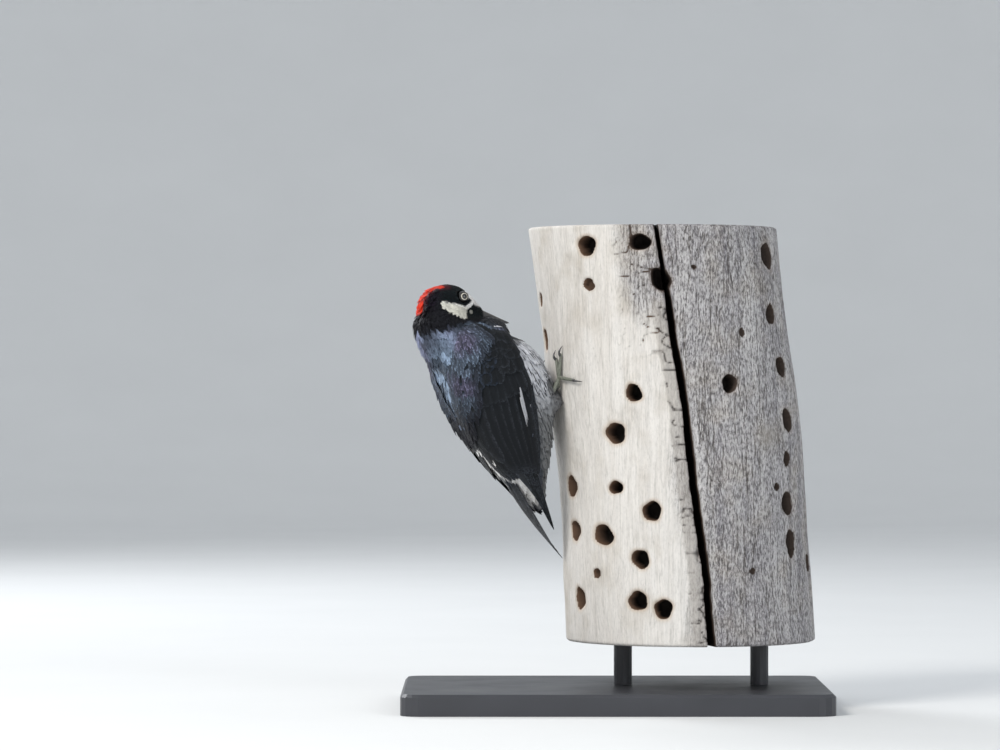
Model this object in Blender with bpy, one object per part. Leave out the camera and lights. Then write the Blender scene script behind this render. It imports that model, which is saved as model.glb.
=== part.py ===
"""Acorn woodpecker, an adult female, clinging to a cut length of dead trunk on a display stand.

Lengths are in metres, +Z is up, and the origin is the middle of the stand's underside.
The bird looks towards +X. Flesh is modelled whole and parted with thin cuts. Wings, tail,
bill, eyes, legs and claws are pieces of their own.
"""
from math import atan2, cos, degrees, pi, radians, sin, sqrt

import bmesh
import bpy
from mathutils import Matrix, Vector

MM = 0.001
GAP = 0.3 * MM  # clearance between neighbouring pieces

# Stand: a flat base and two rods that carry the perch.
BASE_SIZE = (0.280, 0.190, 0.014)
BASE_CORNER = 0.012
ROD_RADIUS = 0.006
ROD_SPREAD = 0.045

# Perch: a leaning length of dead trunk, bored by the birds to store acorns.
PERCH_BOTTOM = 0.0436
PERCH_TOP = 0.3155
PERCH_RADIUS = 0.0812
PERCH_FOOT_X = 0.0502
PERCH_LEAN = 0.092  # sideways run for each metre of height
PERCH_BOW = 0.0026
PERCH_RIM = 0.002  # worn edge of the saw cuts
HOLE_DEPTH = 0.012
# azimuth in degrees from the front, then height, width and height of the mouth in millimetres
ACORN_HOLES = (
    (-36, 302, 14, 13), (-9, 304, 14, 11), (60, 296, 15, 18), (-78, 242, 14, 14),
    (-20, 207, 11, 11), (-31, 181, 15, 13), (26, 213, 11, 12), (57, 258, 11, 14),
    (61, 224, 12, 14), (61, 189, 12, 16), (56, 135, 13, 15), (58, 109, 12, 18),
    (-33, 146, 11, 8), (-16, 131, 12, 13), (-64, 117, 13, 14), (-42, 115, 16, 14),
    (-23, 100, 12, 12), (-63, 73, 13, 14), (-26, 73, 14, 12), (-14, 68, 12, 13),
    (-64, 146, 13, 15), (100, 170, 13, 14), (140, 120, 12, 13), (165, 230, 13, 14),
    (-150, 190, 13, 13), (-120, 90, 12, 14), (120, 270, 12, 13), (-125, 285, 13, 13),
)
CRACK_TURN = (-1.0, 7.5)  # azimuth in degrees at the top and at the bottom
CRACK_WIDTH = 0.0055
CRACK_DEPTH = 0.022

# Bird: its middle, the way its belly faces and how far its back leans out from upright.
BODY_MIDDLE = Vector((-0.0779, -0.038, 0.202))
BODY_YAW = radians(27)
BODY_LEAN = radians(23.4)
# Sections of the trunk of the body, in millimetres: station along the body, back, belly, half width
BODY_SECTIONS = (
    (-74, 6, -5, 8), (-60, 11.5, -11, 14), (-45, 18.5, -20, 21), (-30, 24, -28, 26),
    (-12, 29, -35.5, 29), (8, 32, -38.5, 30.5), (26, 32.5, -33, 30), (44, 30, -18, 27),
    (55, 24, -8, 22), (60, 18, -1, 14),
)
BODY_SQUARE = 2.3  # 2 is an ellipse, more is boxier
SHOULDER = Vector((19.5, 43, -3)) * MM  # middle and reach of the swell over each wing's wrist
SHOULDER_REACH = Vector((10, 14.5, 14)) * MM
# Thin cuts part the flesh: the rump at a station along the body, the head and the neck by blocks,
# as low and high corners in millimetres, the head's in its own axes and the neck's in the bird's.
RUMP_CUT = -32
HEAD_BLOCK = ((-14, -45, -7), (14, 45, 40))
NECK_BLOCK = ((-19, 50, -60), (19, 100, 60))
NECK_SECTIONS = ((34, 8, 26), (50, 15, 22), (60, 18.5, 19.5), (68, 19, 17))  # station, offset to the back, radius

# Head: the middle of the gape, and the way that the bill points.
GAPE = Vector((-0.0983, -0.049, 0.260))
HEAD_YAW = radians(18)
HEAD_PITCH = radians(-15)
# Sections of the head, in millimetres: station along the bill, crown, throat, half width
HEAD_SECTIONS = (
    (12.5, 3.4, -2.8, 3.3), (9, 5.4, -4.6, 5.0), (5.5, 7.8, -6.2, 6.6), (0, 11.3, -8.0, 8.8),
    (-6, 14.0, -9.0, 10.6), (-12, 15.0, -9.5, 11.6), (-18, 14.0, -10, 12.0),
    (-24, 10.8, -10, 11.4), (-28, 6.5, -9, 9), (-31, 0.5, -6, 5),
)
BILL_TIP = 31.0 * MM
BILL_ROOT = 6.0 * MM
EYE_PLACE = Vector((-6.6, 7.4)) * MM  # behind the gape and above it
EYE_RADIUS = 4.0 * MM
EYE_OUT = 1.1 * MM  # how far the eyeball stands out of the feathers

# Wings, in millimetres: station, inner edge and outer edge in degrees from the back
WING_EDGES = (
    (54, 48, 96), (46, 40, 112), (36, 34, 113), (20, 24, 106), (0, 13, 101), (-20, 8, 96),
    (-36, 9, 93), (-47, 22, 91), (-53, 48, 88),
)
PRIMARY_EDGES = ((-36, 46, 93), (-50, 40, 90), (-66, 42, 88), (-80, 56, 86), (-92, 74, 84))
# The bed that a folded wing lies on: station, back, belly, half width
WING_BED = ((-94, 5, -8, 9.5), (-80, 8.5, -10, 13), (-62, 14, -14, 18), (-46, 19.5, -20, 22.5))
WING_BED += BODY_SECTIONS[3:7] + ((44, 30, -25, 29.5), (55, 24, -15, 23), (60, 18, -6, 14))
WING_THICK = 3.0 * MM
PRIMARY_THICK = 1.6 * MM

# Tail: its root and tip in the body's axes, its feathers and their shape.
TAIL_ROOT = Vector((0.0, -46.0, 13.0)) * MM
TAIL_FEATHERS = 10
TAIL_WIDTH = 25 * MM
TAIL_THICK = 1.5 * MM
TAIL_STEP = 0.055  # each pair ends this share of the tail short of the pair inside it
TAIL_TIP_AZIMUTH = radians(-83)
TAIL_TIP_HEIGHT = 0.0985

# Legs and feet.
FOOT_AZIMUTH = {"right": radians(-60), "left": radians(-93)}
FOOT_HEIGHT = {"right": 0.217, "left": 0.208}
TARSUS_DROP = 0.017
TARSUS_OUT = 0.011
TARSUS_RADIUS = 1.45 * MM
TOE_RADIUS = 1.25 * MM
# heading in degrees from straight up, towards the outer side, and length
TOES = (("inner", -14, 13 * MM), ("middle", 12, 16 * MM), ("outer", 98, 15 * MM), ("hind", -150, 8 * MM))
CLAW_LENGTH = 7 * MM

COLOURS = {
    "black_feather": ((0.012, 0.013, 0.016), 0.45),
    "head_feather": ((0.02, 0.018, 0.022), 0.5),
    "white_feather": ((0.62, 0.62, 0.6), 0.7),
    "horn": ((0.02, 0.02, 0.022), 0.35),
    "iris": ((0.75, 0.72, 0.66), 0.1),
    "scaly_skin": ((0.2, 0.21, 0.19), 0.6),
    "dead_wood": ((0.55, 0.5, 0.44), 0.85),
    "painted_stand": ((0.08, 0.08, 0.085), 0.5),
}


def clear_scene():
    for item in list(bpy.data.objects):
        bpy.data.objects.remove(item, do_unlink=True)


def material(name):
    """The shared material of this name, made on its first use."""
    found = bpy.data.materials.get(name)
    if found:
        return found
    made = bpy.data.materials.new(name)
    made.use_nodes = True
    shader = made.node_tree.nodes["Principled BSDF"]
    colour, roughness = COLOURS[name]
    shader.inputs["Base Color"].default_value = (*colour, 1)
    shader.inputs["Roughness"].default_value = roughness
    return made


def empty(name, matrix, parent=None):
    made = bpy.data.objects.new(name, None)
    bpy.context.scene.collection.objects.link(made)
    made.parent = parent
    made.matrix_world = matrix
    bpy.context.view_layer.update()
    return made


def mesh_object(name, verts, faces, finish, parent=None):
    """A smooth-shaded closed mesh in its parent's axes, with its faces turned outwards."""
    mesh = bpy.data.meshes.new(name)
    mesh.from_pydata([tuple(v) for v in verts], [], faces)
    form = bmesh.new()
    form.from_mesh(mesh)
    bmesh.ops.recalc_face_normals(form, faces=form.faces)
    form.to_mesh(mesh)
    form.free()
    mesh.materials.append(material(finish))
    mesh.shade_smooth()
    made = bpy.data.objects.new(name, mesh)
    bpy.context.scene.collection.objects.link(made)
    made.parent = parent
    bpy.context.view_layer.update()
    return made


def guide(piece):
    """Marks a piece as a cutter or helper that isn't part of the model."""
    piece.hide_render = True
    piece.display_type = "WIRE"
    return piece


def loft(name, rings, finish, parent=None):
    """A closed skin over rings of equally many points, capped at both ends."""
    count = len(rings[0])
    verts = [point for ring in rings for point in ring]
    faces = []
    for row in range(len(rings) - 1):
        for i in range(count):
            j = (i + 1) % count
            faces.append((row * count + i, row * count + j, (row + 1) * count + j, (row + 1) * count + i))
    last = (len(rings) - 1) * count
    faces.append(tuple(range(count)))
    faces.append(tuple(last + i for i in range(count)))
    return mesh_object(name, verts, faces, finish, parent)


def settle(piece, weld=True):
    """Applies a piece's modifiers, and welds points that lie within 0.005 mm of one another."""
    bpy.context.view_layer.update()
    shape = piece.evaluated_get(bpy.context.evaluated_depsgraph_get())
    mesh = bpy.data.meshes.new_from_object(shape)
    piece.modifiers.clear()
    piece.data = mesh
    if weld:
        form = bmesh.new()
        form.from_mesh(mesh)
        bmesh.ops.remove_doubles(form, verts=form.verts, dist=0.005 * MM)
        bmesh.ops.dissolve_degenerate(form, edges=form.edges, dist=0.005 * MM)
        form.to_mesh(mesh)
        form.free()
    mesh.shade_smooth()
    return piece


def evened(piece, size, share):
    """One clean surface over a shape whose parts overlap, eased, then thinned to a share of its triangles."""
    remesh = piece.modifiers.new("even", "REMESH")
    remesh.mode = "VOXEL"
    remesh.voxel_size = size
    ease = piece.modifiers.new("ease", "SMOOTH")
    ease.factor = 0.5
    ease.iterations = 5
    thin = piece.modifiers.new("thin", "DECIMATE")
    thin.ratio = share
    return settle(piece)


def combine(piece, other, operation, solver="EXACT"):
    modifier = piece.modifiers.new(operation.lower(), "BOOLEAN")
    modifier.operation = operation
    modifier.object = other
    modifier.solver = solver
    return settle(piece, weld=solver == "EXACT")


def grown(piece, distance=GAP):
    """A cutter: the piece, larger by the gap on every side."""
    mesh = piece.data.copy()
    made = bpy.data.objects.new(piece.name + "_cutter", mesh)
    bpy.context.scene.collection.objects.link(made)
    made.matrix_world = piece.matrix_world
    normals = [vertex.normal.copy() for vertex in mesh.vertices]
    for vertex, normal in zip(mesh.vertices, normals):
        vertex.co += normal * distance
    bpy.context.view_layer.update()
    return guide(made)


def drop_chips(piece):
    """Keeps the largest of the bodies that a cut left, and removes the chips."""
    form = bmesh.new()
    form.from_mesh(piece.data)
    left, bodies = set(form.verts), []
    while left:
        body, edge = set(), {left.pop()}
        while edge:
            body |= edge
            edge = {link.other_vert(vert) for vert in edge for link in vert.link_edges} - body
        left -= body
        bodies.append(body)
    bodies.sort(key=len)
    bmesh.ops.delete(form, geom=[vert for body in bodies[:-1] for vert in body], context="VERTS")
    form.to_mesh(piece.data)
    form.free()


def duplicate(piece, name):
    made = bpy.data.objects.new(name, piece.data.copy())
    bpy.context.scene.collection.objects.link(made)
    made.matrix_world = piece.matrix_world
    bpy.context.view_layer.update()
    return made


def keep_side(piece, point, normal):
    """Keeps what lies on the normal's side of a plane, in world axes, and closes the cut."""
    to_local = piece.matrix_world.inverted()
    local_point = to_local @ point
    local_normal = (to_local.to_3x3() @ normal).normalized()
    form = bmesh.new()
    form.from_mesh(piece.data)
    everything = form.verts[:] + form.edges[:] + form.faces[:]
    cut = bmesh.ops.bisect_plane(form, geom=everything, plane_co=local_point, plane_no=local_normal,
                                 clear_inner=True, dist=1e-7)
    edges = [item for item in cut["geom_cut"] if isinstance(item, bmesh.types.BMEdge)]
    bmesh.ops.holes_fill(form, edges=edges, sides=0)
    bmesh.ops.recalc_face_normals(form, faces=form.faces)
    form.to_mesh(piece.data)
    form.free()
    return piece


def smooth_table(table, place):
    """Reads a table of stations at a place between them, along a smooth curve through its rows."""
    rows = sorted(table)
    place = min(max(place, rows[0][0]), rows[-1][0])
    index = max(i for i in range(len(rows) - 1) if rows[i][0] <= place)
    before, low = rows[max(index - 1, 0)], rows[index]
    high, after = rows[index + 1], rows[min(index + 2, len(rows) - 1)]
    span = high[0] - low[0]
    t = (place - low[0]) / span
    values = []
    for k in range(1, len(low)):
        rise_low = (high[k] - before[k]) / (high[0] - before[0]) * span
        rise_high = (after[k] - low[k]) / (after[0] - low[0]) * span
        values.append(
            low[k] * (1 + 2 * t) * (1 - t) ** 2 + rise_low * t * (1 - t) ** 2
            + high[k] * t * t * (3 - 2 * t) + rise_high * t * t * (t - 1)
        )
    return values


def spread(first, last, count):
    return [first + (last - first) * i / (count - 1) for i in range(count)]


def squared(angle, power):
    """Sine and cosine of an angle on a superellipse, whose corners fill out as the power grows."""
    s, c = sin(angle), cos(angle)
    reach = (abs(s) ** power + abs(c) ** power) ** (-1 / power)
    return s * reach, c * reach


# ---- Perch ----

def perch_axis(height):
    """The middle of the trunk at a height: it leans, and bows a little."""
    up = height - PERCH_BOTTOM
    bow = PERCH_BOW * sin(pi * up / (PERCH_TOP - PERCH_BOTTOM))
    return Vector((PERCH_FOOT_X - PERCH_LEAN * up + bow, 0, height))


def perch_point(azimuth, height, out=0.0):
    """A place on the trunk's surface, or out from it. Azimuth 0 is the front and 90 degrees is +X."""
    uneven = 0.0009 * sin(3 * azimuth + 22 * height) + 0.0007 * sin(2 * azimuth - 45 * height + 1)
    reach = PERCH_RADIUS + uneven + out
    return perch_axis(height) + Vector((sin(azimuth), -cos(azimuth), 0)) * reach


def perch_out(azimuth):
    return Vector((sin(azimuth), -cos(azimuth), 0))


def acorn_hole(azimuth, height, width, tall):
    """A cutter for one round hole that narrows inwards."""
    side = Vector((cos(azimuth), sin(azimuth), 0))
    rings = []
    for depth, share in ((0.004, 1.05), (-HOLE_DEPTH, 0.7)):
        middle = perch_point(azimuth, height, depth)
        rings.append([
            middle + side * (cos(turn) * width / 2 * share) + Vector((0, 0, sin(turn) * tall / 2 * share))
            for turn in spread(0, 2 * pi, 9)[:-1]
        ])
    return guide(loft("hole_cutter", rings, "dead_wood"))


def crack_cutter():
    """A long drying crack that turns slowly round the trunk on its way down."""
    rings = []
    for share in spread(-0.03, 1.03, 9):
        height = PERCH_TOP + (PERCH_BOTTOM - PERCH_TOP) * share
        azimuth = radians(CRACK_TURN[0] + (CRACK_TURN[1] - CRACK_TURN[0]) * share)
        half = CRACK_WIDTH / 2 / PERCH_RADIUS * (0.75 + 0.5 * min(share * 2, 1))
        rings.append([
            perch_point(azimuth - half, height, 0.004), perch_point(azimuth + half, height, 0.004),
            perch_point(azimuth, height, -CRACK_DEPTH),
        ])
    return guide(loft("crack_cutter", rings, "dead_wood"))


def make_perch():
    heights = [PERCH_BOTTOM, PERCH_BOTTOM + PERCH_RIM] + spread(PERCH_BOTTOM + 0.03, PERCH_TOP - 0.03, 6)
    heights += [PERCH_TOP - PERCH_RIM, PERCH_TOP]
    rings = []
    for height in heights:
        out = -PERCH_RIM if height in (PERCH_BOTTOM, PERCH_TOP) else 0.0
        rings.append([perch_point(turn, height, out) for turn in spread(0, 2 * pi, 31)[:-1]])
    perch = loft("perch", rings, "dead_wood")
    for azimuth, height, width, tall in ACORN_HOLES:
        combine(perch, acorn_hole(radians(azimuth), height * MM, width * MM, tall * MM), "DIFFERENCE")
    return combine(perch, crack_cutter(), "DIFFERENCE")


# ---- Stand ----

def make_stand():
    length, depth, thick = BASE_SIZE
    rings = []
    for height, inset in ((0, 0), (thick - 0.002, 0), (thick, 0.002)):
        ring = []
        for corner in range(4):
            middle = Vector(((length / 2 - BASE_CORNER) * (1, -1, -1, 1)[corner],
                             (depth / 2 - BASE_CORNER) * (1, 1, -1, -1)[corner], height))
            for turn in spread(corner * pi / 2, (corner + 1) * pi / 2, 5):
                ring.append(middle + Vector((cos(turn), sin(turn), 0)) * (BASE_CORNER - inset))
        rings.append(ring)
    base = loft("stand_base", rings, "painted_stand")
    base.data.set_sharp_from_angle(angle=radians(30))
    for number, side in ((1, -1), (2, 1)):
        rings = []
        for height in (thick + GAP, PERCH_BOTTOM - GAP):
            middle = Vector((PERCH_FOOT_X + side * ROD_SPREAD, 0, height))
            rings.append([
                middle + Vector((cos(turn), sin(turn), 0)) * ROD_RADIUS for turn in spread(0, 2 * pi, 17)[:-1]
            ])
        rod = loft(f"stand_rod_{number}", rings, "painted_stand")
        rod.data.set_sharp_from_angle(angle=radians(30))


# ---- Bird's axes: x is its right, y runs from tail to head, z is its back ----

def body_axes():
    forward = Vector((cos(BODY_YAW), sin(BODY_YAW), 0))
    right = Vector((sin(BODY_YAW), -cos(BODY_YAW), 0))
    along = Vector((0, 0, 1)) * cos(BODY_LEAN) - forward * sin(BODY_LEAN)
    back = right.cross(along)
    turned = Matrix((right, along, back)).transposed().to_4x4()
    return Matrix.Translation(BODY_MIDDLE) @ turned


def head_axes():
    """x is the head's right, y the way the bill points, z its crown."""
    flat = Vector((cos(HEAD_YAW), sin(HEAD_YAW), 0))
    bill = flat * cos(HEAD_PITCH) + Vector((0, 0, 1)) * sin(HEAD_PITCH)
    right = Vector((sin(HEAD_YAW), -cos(HEAD_YAW), 0))
    turned = Matrix((right, bill, right.cross(bill))).transposed().to_4x4()
    return Matrix.Translation(GAPE) @ turned


def section_point(table, station, angle, out=0.0, power=BODY_SQUARE):
    """A place on the body's skin: angle 0 is the back and 90 degrees the right side."""
    back, belly, half = smooth_table(table, station)
    s, c = squared(angle, power)
    middle, depth = (back + belly) / 2 * MM, (back - belly) / 2 * MM
    return Vector((s * (half * MM + out), station * MM, middle + c * (depth + out)))


def shoulder(side, bird):
    """A swell where the folded wing's wrist stands over the breast."""
    rings = []
    for share in spread(0.06, 0.94, 9):
        reach = sin(pi * share)
        rings.append([
            Vector(((SHOULDER.x + SHOULDER_REACH.x * reach * sin(turn)) * side,
                    SHOULDER.y - SHOULDER_REACH.y * cos(pi * share),
                    SHOULDER.z + SHOULDER_REACH.z * reach * cos(turn)))
            for turn in spread(0, 2 * pi, 25)[:-1]
        ])
    return guide(loft("shoulder_form", rings, "black_feather", bird))


def make_flesh(bird, head_frame):
    """Trunk of the body, neck and head as one smooth closed form."""
    turns = spread(0, 2 * pi, 41)[:-1]
    stations = spread(BODY_SECTIONS[0][0], BODY_SECTIONS[-1][0], 34)
    flesh = loft("flesh", [[section_point(BODY_SECTIONS, s, t) for t in turns] for s in stations],
                 "black_feather", bird)
    neck_rings = []
    for station, back, radius in NECK_SECTIONS:
        neck_rings.append([
            Vector((sin(t) * radius, station, back + cos(t) * radius)) * MM for t in turns
        ])
    to_bird = bird.matrix_world.inverted() @ head_frame.matrix_world
    for station, share in ((-18, 0.97), (-12, 0.75)):
        crown, throat, half = smooth_table(HEAD_SECTIONS, station)
        middle = (crown + throat) / 2
        depth = (crown - throat) / 2
        neck_rings.append([
            to_bird @ (Vector((sin(t) * half * share, station, middle)) * MM
                       + Vector((0, -cos(t) * 0.6, cos(t) * 0.8)) * depth * share * MM)
            for t in turns
        ])
    neck = loft("neck_form", neck_rings, "black_feather", bird)
    head_rings = []
    for station in spread(HEAD_SECTIONS[0][0], HEAD_SECTIONS[-1][0], 26):
        head_rings.append([section_point(HEAD_SECTIONS, station, t, power=2.1) for t in turns])
    head = loft("head_form", head_rings, "head_feather", head_frame)
    for side in (1, -1):
        combine(flesh, shoulder(side, bird), "UNION")
    combine(flesh, guide(neck), "UNION")
    combine(flesh, guide(head), "UNION")
    return guide(evened(flesh, 1.6 * MM, 0.050))


def block(low, high, pad, parent):
    """A box-shaped cutter in its parent's axes, between two corners in millimetres."""
    rings = []
    for z in (low[2] * MM - pad, high[2] * MM + pad):
        rings.append([
            Vector((x, y, z)) for x, y in (
                (low[0] * MM - pad, low[1] * MM - pad), (high[0] * MM + pad, low[1] * MM - pad),
                (high[0] * MM + pad, high[1] * MM + pad), (low[0] * MM - pad, high[1] * MM + pad),
            )
        ])
    return guide(loft("block", rings, "black_feather", parent))


def part_flesh(flesh, bird, head_frame):
    """Parts the flesh with thin cuts into head, neck, body and rump."""
    along = bird.matrix_world.to_3x3() @ Vector((0, 1, 0))
    rump_cut = bird.matrix_world @ (Vector((0, RUMP_CUT, 0)) * MM)
    finishes = {"head": "head_feather", "neck": "black_feather", "body": "black_feather", "rump": "black_feather"}
    made = {}
    for name, finish in finishes.items():
        made[name] = duplicate(flesh, name)
        made[name].data.materials.clear()
        made[name].data.materials.append(material(finish))
    combine(made["head"], block(*HEAD_BLOCK, 0, head_frame), "INTERSECT", "MANIFOLD")
    for name in ("neck", "body"):
        combine(made[name], block(*HEAD_BLOCK, GAP, head_frame), "DIFFERENCE", "MANIFOLD")
    combine(made["neck"], block(*NECK_BLOCK, 0, bird), "INTERSECT", "MANIFOLD")
    combine(made["body"], block(*NECK_BLOCK, GAP, bird), "DIFFERENCE", "MANIFOLD")
    keep_side(made["body"], rump_cut + along * GAP / 2, along)
    keep_side(made["rump"], rump_cut - along * GAP / 2, -along)
    for name in ("head", "neck", "body"):
        drop_chips(made[name])
    return made


# ---- Bill and eyes ----

def make_bill(head_frame, cutter):
    """Two straight, chisel-tipped halves that meet along the gape."""
    for name, side, root_depth, tip_depth in (("bill_upper", 1, 4.6, 0.5), ("bill_lower", -1, 3.4, 0.35)):
        rings = []
        for share in spread(0, 1, 9):
            y = BILL_ROOT + (BILL_TIP - BILL_ROOT - (0 if side > 0 else 0.8 * MM)) * share
            depth = (root_depth + (tip_depth - root_depth) * share ** 0.9) * MM
            half = (4.3 + (0.75 - 4.3) * share ** 0.8) * MM
            ring = []
            for turn in spread(0, pi, 9):
                ring.append(Vector((cos(turn) * half, y, side * (sin(turn) * depth + GAP / 2))))
            rings.append(ring)
        bill = loft(name, rings, "horn", head_frame)
        combine(bill, cutter, "DIFFERENCE", "MANIFOLD")


def make_eyes(head_frame, head):
    """Eyeballs set in sockets, each shaped by the same ball as its socket, grown by the gap."""
    for name, side in (("eye_right", 1), ("eye_left", -1)):
        crown, throat, half = smooth_table(HEAD_SECTIONS, EYE_PLACE.x / MM)
        lift = (2 * EYE_PLACE.y / MM - crown - throat) / (crown - throat)
        x = half * MM * sqrt(1 - lift * lift) - EYE_RADIUS + EYE_OUT
        place = Vector((side * x, EYE_PLACE.x, EYE_PLACE.y))
        for radius, label in ((EYE_RADIUS + GAP, "socket"), (EYE_RADIUS, name)):
            mesh = bpy.data.meshes.new(label)
            form = bmesh.new()
            bmesh.ops.create_uvsphere(form, u_segments=12, v_segments=8, radius=radius)
            turn = Matrix.Rotation(pi / 2, 4, "Y")
            bmesh.ops.transform(form, matrix=Matrix.Translation(place) @ turn, verts=form.verts)
            form.to_mesh(mesh)
            form.free()
            mesh.materials.append(material("iris"))
            mesh.shade_smooth()
            ball = bpy.data.objects.new(label, mesh)
            bpy.context.scene.collection.objects.link(ball)
            ball.parent = head_frame
            bpy.context.view_layer.update()
            if label == "socket":
                combine(head, guide(ball), "DIFFERENCE")


# ---- Wings and tail ----

def wing_plate(name, edges, thick, side, bird, lift=0.0):
    """A folded wing: a curved plate over the bird's side, thin at its rim."""
    stations = spread(max(edges)[0], min(edges)[0], 11)
    columns = spread(0, 1, 7)
    outer, inner = [], []
    for station in stations:
        first, last = smooth_table(edges, station)
        end = (station - min(edges)[0]) / (max(edges)[0] - min(edges)[0])
        for share in columns:
            angle = radians(first + (last - first) * share) * side
            rim = sqrt(max(0.0, 1 - abs(2 * share - 1) ** 4)) * min(1, 0.35 + 4 * end * (1 - end) * 2)
            outer.append(section_point(WING_BED, station, angle, lift + thick * (0.25 + 0.75 * rim)))
            inner.append(section_point(WING_BED, station, angle, lift - 0.9 * thick))
    return plate(name, outer, inner, len(stations), len(columns), "black_feather", bird)


def plate(name, outer, inner, rows, columns, finish, parent):
    """A closed sheet between two grids of points, joined round their rim."""
    count = rows * columns
    faces = []
    for r in range(rows - 1):
        for c in range(columns - 1):
            a, b = r * columns + c, r * columns + c + 1
            d, e = a + columns, b + columns
            faces.append((a, b, e, d))
            faces.append((count + a, count + d, count + e, count + b))
    rim = [c for c in range(columns)]
    rim += [r * columns + columns - 1 for r in range(1, rows)]
    rim += [(rows - 1) * columns + c for c in range(columns - 2, -1, -1)]
    rim += [r * columns for r in range(rows - 2, 0, -1)]
    for i, a in enumerate(rim):
        b = rim[(i + 1) % len(rim)]
        faces.append((a, count + a, count + b, b))
    return mesh_object(name, outer + inner, faces, finish, parent)


def tail_frame(share, bird):
    """Middle, side and back of the tail at a share of its length, from its root to its tip."""
    root = bird.matrix_world @ TAIL_ROOT
    surface = perch_point(TAIL_TIP_AZIMUTH, TAIL_TIP_HEIGHT, TAIL_THICK / 2 + GAP)
    turned = bird.matrix_world.to_3x3()
    out = perch_out(TAIL_TIP_AZIMUTH)
    middle = root.lerp(surface, share)
    back = (turned @ Vector((0, 0, 1))).lerp(out, share)
    middle += back.normalized() * 0.004 * sin(pi * share)
    along = (surface - root).normalized()
    side = along.cross(back).normalized() * -1
    return middle, side, side.cross(along) * -1


def make_tail(bird):
    """Stiff pointed feathers in a closed fan, the middle pair longest."""
    columns = TAIL_FEATHERS * 2 + 1
    rows = 7
    outer, inner = [], []
    for row in range(rows):
        for column in range(columns):
            across = column / (columns - 1) * 2 - 1
            rank = abs(column - (columns - 1) / 2) // 2 + (0.0 if column % 2 else 0.0)
            end = 1 - TAIL_STEP * rank
            if column % 2 == 0:
                end -= 0.10
            share = min(row / (rows - 1) * end, 1)
            middle, side, back = tail_frame(share, bird)
            width = TAIL_WIDTH * (0.55 + 0.45 * sin(min(share * 1.7, 1) * pi / 2))
            roof = 1.0 * MM * (1 - abs(across)) + (0.25 * MM if column % 2 else 0)
            wrap = 0.0012 * across * across
            place = middle + side * across * width / 2 + back * (roof - wrap)
            thick = TAIL_THICK * (1.5 - 0.9 * share)
            outer.append(place + back * thick / 2)
            inner.append(place - back * thick / 2)
    return plate("tail", outer, inner, rows, columns, "black_feather", None)


# ---- Legs, feet and claws ----

def tube(name, points, radii, finish, sides=7, parent=None):
    """A round tube along points in world axes, with a radius at each."""
    rings = []
    normal = None
    for i, point in enumerate(points):
        ahead = points[min(i + 1, len(points) - 1)] - points[max(i - 1, 0)]
        ahead.normalize()
        if normal is None:
            normal = ahead.orthogonal().normalized()
        normal = (normal - ahead * normal.dot(ahead)).normalized()
        other = ahead.cross(normal)
        rings.append([
            point + (normal * cos(turn) + other * sin(turn)) * radii[i]
            for turn in spread(0, 2 * pi, sides + 1)[:-1]
        ])
    return loft(name, rings, finish, parent)


def toe_path(start_azimuth, start_height, heading, length, lifts):
    """Points along the bark from the ball of the foot, each as far out as its lift."""
    points = []
    for share, lift in lifts:
        azimuth = start_azimuth + sin(heading) * length * share / PERCH_RADIUS
        points.append(perch_point(azimuth, start_height + cos(heading) * length * share, lift))
    return points


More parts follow.
